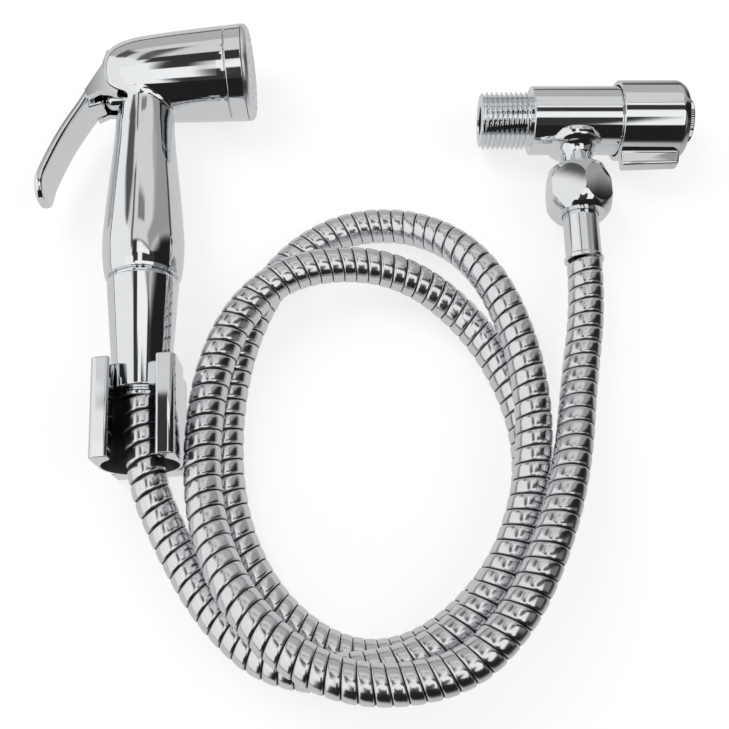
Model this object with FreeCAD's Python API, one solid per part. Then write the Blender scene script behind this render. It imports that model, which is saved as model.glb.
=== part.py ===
import FreeCAD, Part
import math
import os

# Hand sprayer with a squeeze trigger, on a ribbed metal hose fed by a quarter-turn stop valve, and its wall
# holder. It lies on a table as when it is laid out: +Z is up from the table, +Y points to the spray head,
# +X to the valve. Millimetres. Each group below is built in a frame of its own and then placed.

Vec = FreeCAD.Vector
X = Vec(1, 0, 0)
Y = Vec(0, 1, 0)
Z = Vec(0, 0, 1)

# Layout on the table: places are measured from the middle of the picture, then moved by layoutShift, so that
# the origin is under the middle of the set without its hose.
layoutShift = Vec(-2.2, -43.1, 0)
handsetPlace = Vec(-82.6, 107.6, 18.5)   # where the head's axis meets the handle's axis
handsetLean = 3.7                        # degrees, the handset leans to the left
valvePlace = Vec(78.2, 92.0, 14.8)       # where the outlet's axis meets the valve's axis

# Spray head: a round shell along +X of its own frame, tilted a little up from the handle's square
headTilt = 1.2
headBack = -14.5
headSeam = 31.2          # where the collar starts
headBackRadius = 12.6
headMidRadius = 15.6
headFrontRadius = 17.5
collarEnd = 37.6
faceEnd = 40.8           # crown of the spray plate
faceRadius = 17.8
faceFlat = 11.0          # where the crown starts to fall away to the rim
nozzleRadius = 0.7
nozzleRings = [(1, 0.0), (6, 4.6), (12, 9.2)]      # holes in each ring and the ring's radius
collarRootRadius = 15.2
plateSeat = 30.0

# Handle: a turned shape down -Y; each pair is distance below the head's axis and radius
handleStations = [(8.0, 10.2), (22.0, 10.7), (30.5, 11.2), (47.0, 12.7), (60.0, 13.7), (70.0, 14.2), (78.0, 13.7)]
handleEnd = 83.2
handleEndRadius = 12.9
waterBore = 4.5

# Trigger
pinX, pinY = -9.0, 4.0
pinRadius = 1.5
leverHalfWidth = 7.5
rootHalfWidth = 9.0
cheekThickness = 2.6

# Plunger that the trigger pushes
plungerY = -8.5
plungerRadius = 3.5
padX = -15.2             # the lever's pad face
plungerTip = padX + 0.25
plungerNose = 3.0        # radius of its rounded end
glandX = -4.0            # floor of the slot that holds the lever's root
seatX = 2.0
chamberEnd = 15.5
chamberRadius = 6.4
springWire = 0.9
springRadius = 4.3
springTurns = 5
springSteps = 14         # sections to each turn of the spring
springSides = 6

discStart = 4.0          # valve disc at the plunger's end, shut against the seat
discEnd = 5.6
discRadius = 5.4
sealStart = -3.4
sealEnd = -1.9
portRadius = 4.7         # the seat's mouth, behind the valve disc
portStart = -1.3
risers = [-2.6, 0.0, 2.6]                # heights of the passages from the port to the head's outlet way
riserRadius = 1.5
outletY = 4.5
inletOffset = 5.8        # the inlet way enters the chamber this far in front of the handle's axis
inletRadius = 3.0
inletReach = 28.0
sealRadius = 5.0
pinReach = 11.6
pinBossRadius = 4.0
# The blade's back from root to tip, and its front from tip to root, (x, y)
leverBack = [(-12.6, 7.4), (-14.6, 2.0), (-21.1, -8.9), (-29.9, -24.2), (-36.1, -38.3), (-37.7, -45.0), (-37.6, -51.4)]
leverFront = [(-34.7, -51.2), (-34.6, -45.4), (-33.2, -39.6), (-27.3, -25.6), (-18.6, -10.4), (-12.6, 0.4),
              (-10.6, 5.8)]
cheekCorners = [(-12.8, 7.4), (-9.0, 8.0), (-6.2, 4.0), (-8.2, -6.0), (-9.4, -12.6), (-12.0, -9.2), (-15.4, -8.2),
                (-19.4, -11.4), (-20.4, -9.4), (-14.4, 1.4)]

# Conical nut and the hose end at the handset
coneTop = 84.6
coneBottom = 124.4
coneTopRadius = 12.3
coneBottomRadius = 9.3
endFittingReach = 126.8
nippleRadius = 10.48     # G1/2 thread
nippleLength = 13.0
nippleShankRadius = 8.6
nippleShank = 9.0

# Wall holder
holderTop = 115.8
holderLength = 33.7
holderRadius = 13.7
holderFront = 14.6       # prongs stand this far in front of the cone's axis
holderCorner = 2.2
slotWidth = 15.0
seatDepth = 8.0
seatSlack = 0.25
reliefRadius = 11.2
mouthRadius = 12.7
mouthDepth = 9.0
backBlockWidth = 24.0
backBlockHeight = 9.0
screwSpacing = 16.0
screwRadius = 2.1
screwHeadRadius = 4.0
screwHeadDepth = 2.2

# Stop valve: axis along +X of its own frame, outlet down -Y
threadRadius = 10.48     # G1/2, male
threadStart = -35.0
threadEnd = -16.2
bodyRadius = 12.6
bodyEnd = 17.4
knobStart = 16.2
knobEnd = 41.4
knobRadius = 14.7
knobWall = 2.0
tabHeight = 5.6
tabThickness = 5.0
tabEnd = 38.7
indexRadius = 8.2
indexEnd = 43.7
inletBore = 5.5
discSeat = -5.0
cartridgeStart = 3.0
ringSeat = 9.0
headworkRadius = 8.6
spindleRadius = 3.6
neckRadius = 6.1
neckEnd = 24.0
outletThreadRadius = 10.48
outletThread = 9.0
nutTop = 22.4
nutBottom = 40.4
nutFlats = 21.6
nutBarrel = [(22.4, 10.45), (24.0, 10.85), (26.0, 11.7), (28.5, 12.45), (31.4, 12.8), (34.3, 12.45), (36.8, 11.7),
             (38.8, 10.6), (40.4, 9.2)]  # the nut's domed sides, depth and radius
ferruleRadius = 6.35
ferruleLipRadius = 6.9
ferruleEnd = 58.6

# Hose
hoseRadius = 6.0
grooveRadius = 5.45
boreRadius = 4.2
ribPitch = 5.6
ribShape = [(0.0, grooveRadius), (0.22, hoseRadius), (0.85, hoseRadius)]     # share of the pitch and radius
ribSides = 10            # sides of the hose's sections
boreSteps = 2            # ribs to each step of the bore
levelOne = 6.1           # height of the hose's middle where it lies on the table
levelTwo = 18.7          # where it lies on one strand
levelThree = 31.8        # where it lies on two
pointsPerQuarter = 3

# Free stretch from the valve's ferrule to the bottom of the first turn, points chosen along the picture
valveRun = [Vec(78.2, 33.4, 14.8), Vec(78.2, 17.0, 14.8), Vec(72.6, -12.0, 16.4),
            Vec(66.4, -43.0, 25.4), Vec(57.8, -68.0, 30.0), Vec(45.6, -91.5, 31.8),
            Vec(26.5, -108.3, levelThree)]
# The turns: at each quarter the hose's furthest reach down, left, up and right, with its height
turnStations = [Vec(8.0, -110.3, levelThree), Vec(-52.7, -36.5, levelTwo), Vec(-2.3, 30.8, levelTwo),
                Vec(56.3, -40.0, levelOne), Vec(4.9, -101.4, levelOne), Vec(-47.4, -31.4, levelOne),
                Vec(7.2, 51.4, levelOne), Vec(56.0, -26.3, levelTwo), Vec(2.3, -104.8, levelTwo)]
turnFullness = [1.0, 1.25, 1.0, 0.85, 1.0, 1.12, 1.0, 0.97]      # over 1, the quarter swells past an ellipse
climbAngles = [(30, 90), (0, 90), (0, 50), (0, 90), (0, 90), (0, 90), (0, 50), (0, 90)]   # where height changes
# Free stretch from the last turn to the cone nut
handsetRun = [Vec(-25.0, -106.6, 18.4), Vec(-45.7, -90.7, 16.0), Vec(-61.2, -67.7, 14.5),
              Vec(-72.9, -42.1, 18.5), Vec(-74.42, -18.94, 18.5)]

parts = {}


def turned(profile, axis):
    """A full turn of a closed outline given as (along, radius) pairs; axis is X or Y."""
    across = Y if axis == X else X
    points = [axis * along + across * radius for along, radius in profile]
    face = Part.Face(Part.makePolygon(points + points[:1]))
    return face.revolve(Vec(), axis, 360)


def turnedCurve(stations, start, end, axis):
    """A turned solid whose outline is one smooth curve through stations, closed on the axis."""
    across = Y if axis == X else X
    points = [axis * along + across * radius for along, radius in stations]
    curve = Part.BSplineCurve()
    curve.interpolate(points)
    outer = curve.toShape()
    edges = [outer]
    foot = axis * start
    top = axis * end
    if (points[0] - foot).Length > 0.01:
        edges.append(Part.makeLine(foot, points[0]))
    if (points[-1] - top).Length > 0.01:
        edges.append(Part.makeLine(points[-1], top))
    edges.append(Part.makeLine(top, foot))
    face = Part.Face(Part.Wire(Part.__sortEdges__(edges)))
    return face.revolve(Vec(), axis, 360)


def rod(radius, start, end, axis=X, offset=Vec()):
    """A cylinder along axis from start to end, moved by offset."""
    return Part.makeCylinder(radius, end - start, offset + axis * start, axis)


def ring(outer, inner, start, end, axis=X, offset=Vec()):
    return rod(outer, start, end, axis, offset).cut(rod(inner, start - 1, end + 1, axis, offset))


def box(low, high):
    size = high - low
    return Part.makeBox(size.x, size.y, size.z, low)


def roundedRoute(points):
    """Straight runs joined by tangent arcs; each radius is 0.45 of the shorter run over tan(half turn)."""
    edges = []
    radii = []
    here = points[0]
    for before, corner, after in zip(points, points[1:], points[2:]):
        inward = (corner - before).normalize()
        outward = (after - corner).normalize()
        half = inward.getAngle(outward) / 2
        reach = 0.45 * min((corner - before).Length, (after - corner).Length)
        radius = reach / math.tan(half)
        start = corner - inward * reach
        end = corner + outward * reach
        middle = corner + (outward - inward).normalize() * (radius / math.cos(half) - radius)
        edges.append(Part.LineSegment(here, start).toShape())
        edges.append(Part.Arc(start, middle, end).toShape())
        radii.append(radius)
        here = end
    edges.append(Part.LineSegment(here, points[-1]).toShape())
    return edges, radii


def turnPoints():
    """Corner points of the turns: quarter ellipses between the reaches, standing outside by the step."""
    step = 90 / pointsPerQuarter
    outside = 1 / math.cos(math.radians(step / 2))
    points = []
    quarters = zip(turnStations, turnStations[1:], turnFullness, climbAngles)
    for number, (here, there, fullness, (climbFrom, climbTo)) in enumerate(quarters):
        sideways = number % 2 == 0       # from a bottom or top towards a side
        centre = Vec(here.x, there.y, 0) if sideways else Vec(there.x, here.y, 0)
        for count in range(pointsPerQuarter):
            angle = math.radians((count + 0.5) * step)
            go = math.sin(angle) ** (1 / fullness)
            stay = math.cos(angle) ** (1 / fullness)
            if sideways:
                flat = Vec(centre.x + (there.x - centre.x) * go * outside,
                           centre.y + (here.y - centre.y) * stay * outside, 0)
            else:
                flat = Vec(centre.x + (here.x - centre.x) * stay * outside,
                           centre.y + (there.y - centre.y) * go * outside, 0)
            share = min(1, max(0, (math.degrees(angle) - climbFrom) / (climbTo - climbFrom)))
            climb = (1 - math.cos(math.pi * share)) / 2
            points.append(flat + Z * (here.z + (there.z - here.z) * climb))
    return points


def hosePieces():
    """The hose as one route, cut in straight stretches into the valve run, the turns and the handset run."""
    turns = turnPoints()
    route = valveRun + turns + handsetRun
    edges, radii = roundedRoute(route)
    lengths = [edge.Length for edge in edges]
    print("hose length %.0f mm" % sum(lengths))
    print("arc radii, smallest %.0f mm" % min(radii), [round(radius) for radius in radii])
    firstCut = 2 * len(valveRun) - 1
    lastCut = firstCut + 2 * (len(turns) - 1)
    groups = {"hose_valve_run": edges[:firstCut],
              "hose_turns": edges[firstCut:lastCut],
              "hose_handset_run": edges[lastCut:]}
    samples = []
    for edge in edges:
        count = max(2, int(edge.Length / 2))
        samples += edge.discretize(count)[:-1]
    travel = [0]
    for first, second in zip(samples, samples[1:]):
        travel.append(travel[-1] + (second - first).Length)
    gap = min((samples[i] - samples[j]).Length for i in range(0, len(samples), 2)
              for j in range(i, len(samples), 2) if travel[j] - travel[i] > 60) - 2 * hoseRadius
    print("least gap of the hose to itself %.2f mm" % gap)
    pieces = {}
    for name, group in groups.items():
        pieces[name], ribs = ribbedTube(group)
        fill = math.pi * (hoseRadius ** 2 - boreRadius ** 2) * sum(edge.Length for edge in group)
        print("%s has %d ribs, volume %.0f, a smooth tube %.0f" % (name, ribs, pieces[name].Volume, fill))
    return pieces


def hoseSection(edges, distance, radius):
    """The hose's section at a distance along the edges: a polygon whose first corner stays level."""
    for edge in edges:
        if distance <= edge.Length:
            break
        distance -= edge.Length
    reach = edge.getParameterByLength(min(distance, edge.Length))
    spot = edge.valueAt(reach)
    along = edge.tangentAt(reach)
    across = Z.cross(along).normalize()
    upward = along.cross(across)
    angles = [2 * math.pi * number / ribSides for number in range(ribSides)]
    corners = [spot + across * radius * math.cos(angle) + upward * radius * math.sin(angle) for angle in angles]
    return Part.makePolygon(corners + corners[:1])


def ribbedTube(edges):
    """A tube along the edges with its ribs as one ruled loft, and its bore cut through."""
    length = sum(edge.Length for edge in edges)
    ribs = boreSteps * round(length / ribPitch / boreSteps)
    pitch = length / ribs
    skin = [hoseSection(edges, (rib + share) * pitch, radius) for rib in range(ribs) for share, radius in ribShape]
    skin.append(hoseSection(edges, length, grooveRadius))
    bore = [hoseSection(edges, rib * pitch, boreRadius) for rib in range(0, ribs + 1, boreSteps)]
    return Part.makeLoft(skin, True, True).cut(Part.makeLoft(bore, True, True)), ribs


def handsetBody():
    """Head and handle in one moulding, with the lever's slot, the valve chamber and the water ways."""
    profile = [(headBack, 0.0), (headBack, 7.0), (headBack + 1.2, 10.0), (headBack + 3.6, headBackRadius),
               (headBack + 8.0, 14.2), (0.0, headMidRadius), (14.0, 16.6), (headSeam, headFrontRadius),
               (headSeam, 0.0)]
    head = turned(profile, X)
    head.rotate(Vec(), Z, headTilt)
    stations = [(-depth, radius) for depth, radius in handleStations]
    stations += [(-handleEnd, handleEndRadius)]
    handle = turnedCurve(stations[::-1], -handleEnd, -handleStations[0][0], Y)
    body = head.fuse(handle)
    plungerLine = Vec(0, plungerY, 0)
    body = body.cut(box(Vec(headBack - 3, -14.6, -rootHalfWidth - 0.5), Vec(glandX, 9.5, rootHalfWidth + 0.5)))
    body = body.cut(rod(pinRadius, -14.0, 14.0, Z, Vec(pinX, pinY, 0)))
    body = body.cut(rod(plungerRadius + 0.05, glandX - 1, seatX + 1, X, plungerLine))
    body = body.cut(ring(sealRadius, plungerRadius - 1, sealStart, sealEnd, X, plungerLine))
    body = body.cut(rod(chamberRadius, seatX, chamberEnd, X, plungerLine))
    nozzleRoom = rod(collarRootRadius + 0.1, plateSeat - 8.0, headSeam + 1)
    nozzleRoom.rotate(Vec(), Z, headTilt)
    body = body.cut(nozzleRoom)
    body = body.cut(rod(portRadius, portStart, seatX + 1, X, plungerLine))
    riserX = (portStart + seatX) / 2
    for height in risers:
        body = body.cut(rod(riserRadius, plungerY, outletY, Y, Vec(riserX, 0, height)))
    body = body.cut(rod(waterBore - 1.0, riserX - 0.8, 27.0, X, Vec(0, outletY, 0)))
    body = body.cut(rod(inletRadius, -inletReach, plungerY - 2.0, Y, Vec(inletOffset, 0, 0)))
    body = body.cut(rod(waterBore, -handleEnd - 1, -inletReach + 3.0, Y))
    return body.cut(rod(nippleShankRadius, -handleEnd - 1, -handleEnd + nippleShank, Y))


def sprayHead():
    """Collar, plate with its nozzle holes, and gasket, on the head's tilted axis."""
    root = ring(collarRootRadius, collarRootRadius - 1.6, plateSeat - 3.0, headSeam + 1.0)
    band = turned([(headSeam + 0.3, 14.0), (headSeam + 0.3, headFrontRadius + 0.05), (headSeam + 0.8, 17.7),
                   (collarEnd, faceRadius), (collarEnd, 15.4), (plateSeat + 4.6, 15.4), (plateSeat + 4.6, 14.0)], X)
    collar = band.fuse(ring(collarRootRadius, collarRootRadius - 1.6, plateSeat, headSeam + 1.0))
    plate = turned([(collarEnd + 0.15, 0), (collarEnd + 0.15, faceRadius), (collarEnd + 0.9, faceRadius),
                    (collarEnd + 1.75, faceRadius - 0.45), (collarEnd + 2.35, faceRadius - 1.6),
                    (faceEnd - 0.25, faceFlat), (faceEnd, faceFlat - 3.0), (faceEnd, 0)], X)
    plate = plate.fuse(rod(15.2, headSeam + 3.4, collarEnd + 0.5))
    plate = plate.cut(rod(13.6, headSeam + 2.0, collarEnd - 0.4))
    for count, reach in nozzleRings:
        for number in range(count):
            turn = 2 * math.pi * number / count
            spot = Vec(0, reach * math.cos(turn), reach * math.sin(turn))
            plate = plate.cut(rod(nozzleRadius, collarEnd - 1.0, faceEnd + 1.0, X, spot))
    gasket = ring(13.8, 11.4, plateSeat - 2.4, plateSeat - 0.1)
    pieces = {"spray_collar": collar, "spray_plate": plate, "spray_gasket": gasket}
    for piece in pieces.values():
        piece.rotate(Vec(), Z, headTilt)
    return pieces


def triggerLever():
    """The curved blade with its rounded tip, and the two cheeks that carry it on the pin."""
    outer = [Vec(*point) for point in leverBack]
    inner = [Vec(*point) for point in leverFront]
    backCurve = Part.BSplineCurve()
    backCurve.interpolate(outer)
    frontCurve = Part.BSplineCurve()
    frontCurve.interpolate(inner)
    outline = Part.Wire([backCurve.toShape(), Part.makeLine(outer[-1], inner[0]), frontCurve.toShape(),
                         Part.makeLine(inner[-1], outer[0])])
    blade = Part.Face(outline).extrude(Z * (2 * rootHalfWidth))
    blade.translate(Z * -rootHalfWidth)
    # seen square on, the blade narrows from the root and ends in a round tip
    tipCentre = outer[-1].y + leverHalfWidth
    low = Vec(0, tipCentre, -leverHalfWidth)
    high = Vec(0, tipCentre, leverHalfWidth)
    face = Part.Wire([Part.makeLine(Vec(0, 12, -rootHalfWidth), Vec(0, 12, rootHalfWidth)),
                      Part.makeLine(Vec(0, 12, rootHalfWidth), Vec(0, -14, rootHalfWidth)),
                      Part.makeLine(Vec(0, -14, rootHalfWidth), high),
                      Part.Arc(high, Vec(0, tipCentre - leverHalfWidth, 0), low).toShape(),
                      Part.makeLine(low, Vec(0, -14, -rootHalfWidth)),
                      Part.makeLine(Vec(0, -14, -rootHalfWidth), Vec(0, 12, -rootHalfWidth))])
    front = Part.Face(face).extrude(X * 60)
    front.translate(X * -55)
    blade = blade.common(front)
    cheekOutline = Part.makePolygon([Vec(*point) for point in cheekCorners + cheekCorners[:1]])
    cheek = Part.Face(cheekOutline).extrude(Z * cheekThickness)
    eye = rod(pinBossRadius, 0, cheekThickness, Z, Vec(pinX, pinY, 0))
    cheek = cheek.fuse(eye)
    lever = blade
    for side in (-rootHalfWidth, rootHalfWidth - cheekThickness):
        lever = lever.fuse(cheek.translated(Z * side))
    lever = lever.fuse(box(Vec(padX - 4.6, plungerY - 4.0, -4.0), Vec(padX, plungerY + 4.0, 4.0)))
    return lever.cut(rod(pinRadius + 0.05, -12, 12, Z, Vec(pinX, pinY, 0)))


def coilSpring(start, end):
    """Round wire wound about X from start to end, as one ruled loft of small polygons."""
    sections = []
    for step in range(springTurns * springSteps + 1):
        turn = 2 * math.pi * step / springSteps
        outward = Vec(0, math.cos(turn), math.sin(turn))
        spot = X * (start + (end - start) * step / (springTurns * springSteps)) + outward * springRadius
        angles = [2 * math.pi * number / springSides for number in range(springSides)]
        corners = [spot + (outward * math.cos(angle) + X * math.sin(angle)) * (springWire / 2) for angle in angles]
        sections.append(Part.makePolygon(corners + corners[:1]))
    return Part.makeLoft(sections, True, True)


def plungerGroup():
    """The plunger with its domed tip and valve disc, the pin, the spring, and its two seals."""
    line = Vec(0, plungerY, 0)
    plunger = turned([(plungerTip, 0), (plungerTip, plungerRadius), (discStart, plungerRadius),
                      (discStart, discRadius), (discEnd, discRadius), (discEnd, 0)], X)
    plunger = plunger.makeFillet(plungerNose, [edge for edge in plunger.Edges if edge.BoundBox.XMax < padX + 1])
    plunger.translate(line)
    coilStart = discEnd + 0.1
    coilEnd = chamberEnd - 0.1
    spring = coilSpring(coilStart + springWire / 2 + 0.05, coilEnd - springWire / 2 - 0.05)
    spring.translate(line)
    return {"valve_plunger": plunger,
            "plunger_spring": spring,
            "plunger_seal": ring(sealRadius - 0.05, plungerRadius + 0.02, sealStart + 0.05, sealEnd - 0.05, X, line),
            "valve_seat_seal": ring(discRadius - 0.2, plungerRadius + 0.02, seatX + 0.05, discStart - 0.02, X, line),
            "trigger_pin": rod(pinRadius, -pinReach, pinReach, Z, Vec(pinX, pinY, 0))}


def hoseEndGroup():
    """Threaded nipple in the handle, washer, cone nut, and the fitting crimped on the hose."""
    nipple = rod(nippleShankRadius, -handleEnd - 0.2, -handleEnd + nippleShank, Y)
    nipple = nipple.fuse(rod(11.4, -handleEnd - 1.2, -handleEnd - 0.1, Y))
    nipple = nipple.fuse(rod(nippleRadius - 0.4, -handleEnd - nippleLength, -handleEnd - 1.0, Y))
    nipple = nipple.cut(rod(5.5, -handleEnd - nippleLength - 1, -handleEnd + nippleShank + 1, Y))
    inside = -handleEnd - nippleLength
    washer = ring(9.2, 5.2, inside - 2.2, inside - 0.05, Y)
    cone = turned([(-coneTop, nippleRadius + 0.05), (-coneTop, coneTopRadius - 0.5),
                   (-coneTop - 0.6, coneTopRadius), (-coneBottom + 0.6, coneBottomRadius),
                   (-coneBottom, coneBottomRadius - 0.6), (-coneBottom, ferruleRadius + 0.25),
                   (inside - 5.0, ferruleRadius + 0.25), (inside - 5.0, nippleRadius - 0.6),
                   (inside - 0.2, nippleRadius + 0.05)], Y)
    fitting = turned([(inside - 2.3, 4.4), (inside - 2.3, 9.4), (inside - 4.9, 9.4), (inside - 4.9, ferruleRadius),
                      (-endFittingReach, ferruleRadius), (-endFittingReach, 4.4)], Y)
    return {"inlet_nipple": nipple, "cone_washer": washer, "cone_nut": cone, "handset_end_fitting": fitting}


def wallHolder():
    """A slotted cup on a back block: the cone sits in its taper, the hose passes its slot."""
    top = -holderTop
    bottom = top - holderLength
    cup = rod(holderRadius, bottom, top, Y)
    prongs = box(Vec(-holderRadius, bottom, 0), Vec(holderRadius, top, holderFront))
    base = box(Vec(-backBlockWidth / 2, bottom, -handsetPlace.z),
               Vec(backBlockWidth / 2, top, -handsetPlace.z + backBlockHeight))
    holder = cup.fuse(prongs).fuse(base).removeSplitter()
    fronts = [edge for edge in holder.Edges if edge.CenterOfMass.z > holderFront - 0.1]
    holder = holder.makeFillet(holderCorner, fronts)
    taper = (coneTopRadius - coneBottomRadius) / (coneBottom - coneTop)
    seatTop = coneBottomRadius + (coneBottom - holderTop) * taper + seatSlack
    seatLow = seatTop - seatDepth * taper
    hollow = [(top + 1, 0), (top + 1, seatTop + 1.0), (top, seatTop + 0.6), (top - 0.8, seatTop),
              (top - seatDepth, seatLow), (top - seatDepth - 2.0, reliefRadius), (bottom + mouthDepth, reliefRadius),
              (bottom - 0.01, mouthRadius), (bottom - 1, mouthRadius), (bottom - 1, 0)]
    holder = holder.cut(turned(hollow, Y))
    holder = holder.cut(box(Vec(-slotWidth / 2, bottom - 1, 0), Vec(slotWidth / 2, top + 1, holderFront + 1)))
    middle = (top + bottom) / 2 - 1.5
    for side in (-0.5, 0.5):
        spot = Vec(0, middle + side * screwSpacing, 0)
        holder = holder.cut(rod(screwRadius, -handsetPlace.z - 1, 0, Z, spot))
        holder = holder.cut(rod(screwHeadRadius, -reliefRadius - screwHeadDepth, 0, Z, spot))
    return holder


def stopValve():
    """Valve body, quarter-turn cartridge, knob and the outlet's hose nut."""
    body = turned([(threadStart, inletBore), (threadStart, threadRadius - 1.2), (threadStart + 1.2, threadRadius),
                   (threadEnd - 0.6, threadRadius), (threadEnd, threadRadius - 0.9), (threadEnd, bodyRadius - 0.4),
                   (threadEnd + 0.4, bodyRadius), (bodyEnd, bodyRadius), (bodyEnd, headworkRadius + 0.05),
                   (discSeat, headworkRadius + 0.05), (discSeat, inletBore)], X)
    outlet = turned([(-neckEnd - outletThread, 4.5), (-neckEnd - outletThread, outletThreadRadius - 0.7),
                     (-neckEnd, outletThreadRadius - 0.7), (-neckEnd, neckRadius), (-bodyRadius - 3.0, neckRadius),
                     (-bodyRadius - 0.6, 8.0), (-bodyRadius + 0.6, 10.4), (-bodyRadius + 3.6, 10.4),
                     (-bodyRadius + 3.6, 4.5)], Y)
    outlet = outlet.cut(rod(headworkRadius + 0.05, -20, 20))
    body = body.fuse(outlet)
    body = body.cut(rod(4.5, -bodyRadius - 2, -headworkRadius + 1, Y))
    cartridge = ring(headworkRadius, spindleRadius + 0.05, cartridgeStart, bodyEnd + 6.0)
    cartridge = cartridge.fuse(ring(10.6, headworkRadius - 1, bodyEnd + 0.1, bodyEnd + 3.2))
    cartridge = cartridge.cut(ring(headworkRadius + 1, headworkRadius - 1.5, ringSeat, ringSeat + 2.4))
    window = box(Vec(discSeat - 1, 1.2, -2.4), Vec(discSeat + 4, 6.0, 2.4))
    fixedDisc = rod(headworkRadius - 0.1, discSeat + 0.05, discSeat + 3.0).cut(window)
    fixedDisc = fixedDisc.cut(window.translated(Y * -7.2))
    turningDisc = rod(headworkRadius - 0.9, discSeat + 3.05, discSeat + 6.0)
    turningDisc = turningDisc.cut(window.translated(X * 4.0)).cut(window.translated(X * 4.0 + Y * -7.2))
    spindle = rod(spindleRadius, discSeat + 6.05, knobEnd - 8.0)
    spindle = spindle.fuse(rod(5.6, discSeat + 6.05, cartridgeStart - 0.05))
    spindle = spindle.cut(rod(1.7, knobEnd - 18.0, knobEnd - 7.0))
    return {"valve_body": body, "valve_headwork": cartridge, "fixed_disc": fixedDisc,
            "turning_disc": turningDisc, "valve_spindle": spindle,
            "headwork_oring": ring(headworkRadius + 0.02, headworkRadius - 1.45, ringSeat + 0.1, ringSeat + 2.3)}


def knobGroup():
    """Knob with its grip tab, the screw that holds it, and the index button that covers the screw."""
    shell = turned([(knobStart, bodyRadius + 0.4), (knobStart, knobRadius - 0.6), (knobStart + 0.6, knobRadius),
                    (knobEnd - 3.4, knobRadius), (knobEnd - 1.0, knobRadius - 1.2), (knobEnd, knobRadius - 3.4),
                    (knobEnd, indexRadius + 0.1), (knobEnd - 5.0, indexRadius + 0.1), (knobEnd - 5.0, 2.0),
                    (knobEnd - 7.9, 2.0), (knobEnd - 7.9, spindleRadius + 0.03),
                    (bodyEnd + 7.0, spindleRadius + 0.03), (bodyEnd + 7.0, 6.4), (knobEnd - 9.0, 6.4),
                    (knobEnd - 9.0, knobRadius - knobWall), (bodyEnd + 4.0, knobRadius - knobWall),
                    (bodyEnd + 2.0, bodyRadius + 0.4)], X)
    tab = Part.makePolygon([Vec(knobStart, -knobRadius + 2, 0), Vec(knobStart, -knobRadius - tabHeight, 0),
                            Vec(tabEnd - 1.6, -knobRadius - tabHeight + 0.8, 0), Vec(tabEnd, -knobRadius + 2, 0),
                            Vec(knobStart, -knobRadius + 2, 0)])
    tab = Part.Face(tab).extrude(Z * tabThickness).translated(Z * (-tabThickness / 2))
    knob = shell.fuse(tab)
    screw = rod(3.2, knobEnd - 4.9, knobEnd - 2.9)
    screw = screw.fuse(rod(1.6, knobEnd - 17.0, knobEnd - 4.9))
    screw = screw.cut(box(Vec(knobEnd - 3.9, -4, -0.4), Vec(knobEnd, 4, 0.4)))
    index = turned([(knobEnd - 2.6, 0), (knobEnd - 2.6, indexRadius), (indexEnd - 0.6, indexRadius),
                    (indexEnd, indexRadius - 0.8), (indexEnd, 0)], X)
    return {"stop_knob": knob, "knob_screw": screw, "knob_index": index}


def hoseNutGroup():
    """Domed hexagon nut, its washer and the ferrule crimped on the hose."""
    corners = [Vec(nutFlats / math.sqrt(3) * math.sin(math.radians(60 * number)), 0,
                   nutFlats / math.sqrt(3) * math.cos(math.radians(60 * number))) for number in range(7)]
    nut = Part.Face(Part.makePolygon(corners)).extrude(Y * (nutBottom - nutTop)).translated(Y * -nutBottom)
    barrel = [(-depth, radius) for depth, radius in nutBarrel]
    nut = nut.common(turned([(-nutBottom, 0)] + barrel[::-1] + [(-nutTop, 0)], Y))
    nut = nut.cut(rod(outletThreadRadius - 0.65, -nutTop - 14.0, -nutTop + 1, Y))
    nut = nut.cut(rod(ferruleRadius + 0.1, -nutBottom - 1, -nutTop, Y))
    seal = -neckEnd - outletThread
    washer = ring(9.4, 5.2, seal - 1.7, seal - 0.05, Y)
    ferrule = turned([(seal - 1.8, 4.4), (seal - 1.8, 9.4), (-nutTop - 14.0 + 0.05, 9.4),
                      (-nutTop - 14.0 + 0.05, ferruleRadius), (-ferruleEnd + 1.4, ferruleRadius),
                      (-ferruleEnd + 1.0, ferruleLipRadius), (-ferruleEnd, ferruleLipRadius),
                      (-ferruleEnd, 4.4)], Y)
    return {"hose_nut": nut, "hose_nut_washer": washer, "valve_ferrule": ferrule}


def place(pieces, rotation, spot):
    for name, shape in pieces.items():
        shape.Placement = FreeCAD.Placement(spot + layoutShift, rotation).multiply(shape.Placement)
        parts[name] = shape


handset = {"handset_body": handsetBody(), "trigger_lever": triggerLever(), "wall_holder": wallHolder()}
handset.update(sprayHead())
handset.update(plungerGroup())
handset.update(hoseEndGroup())
place(handset, FreeCAD.Rotation(Z, handsetLean), handsetPlace)
valve = stopValve()
valve.update(knobGroup())
valve.update(hoseNutGroup())
place(valve, FreeCAD.Rotation(), valvePlace)
place(hosePieces(), FreeCAD.Rotation(), Vec())

os.makedirs("parts", exist_ok=True)
for name, shape in parts.items():
    shape.exportStep("parts/%s.step" % name)
    if not shape.isValid() or len(shape.Solids) != 1:
        print("look at", name, shape.isValid(), len(shape.Solids))
    print("%s %.0f mm3" % (name, shape.Volume))
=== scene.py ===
import math

import bmesh
import bpy
import numpy as np
from mathutils import Matrix, Vector


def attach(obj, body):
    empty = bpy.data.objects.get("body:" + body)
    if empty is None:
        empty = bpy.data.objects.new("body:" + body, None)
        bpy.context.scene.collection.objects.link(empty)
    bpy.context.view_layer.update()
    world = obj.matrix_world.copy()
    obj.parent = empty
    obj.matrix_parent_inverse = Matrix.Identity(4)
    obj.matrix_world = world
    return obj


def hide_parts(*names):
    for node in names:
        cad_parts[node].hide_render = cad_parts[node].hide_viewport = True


# Chrome hand sprayer with its ribbed steel hose, wall holder and stop valve, laid out on a pale table.
# Lengths in the dictionaries are millimetres in each group's own frame, and mm turns them to metres.

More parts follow.
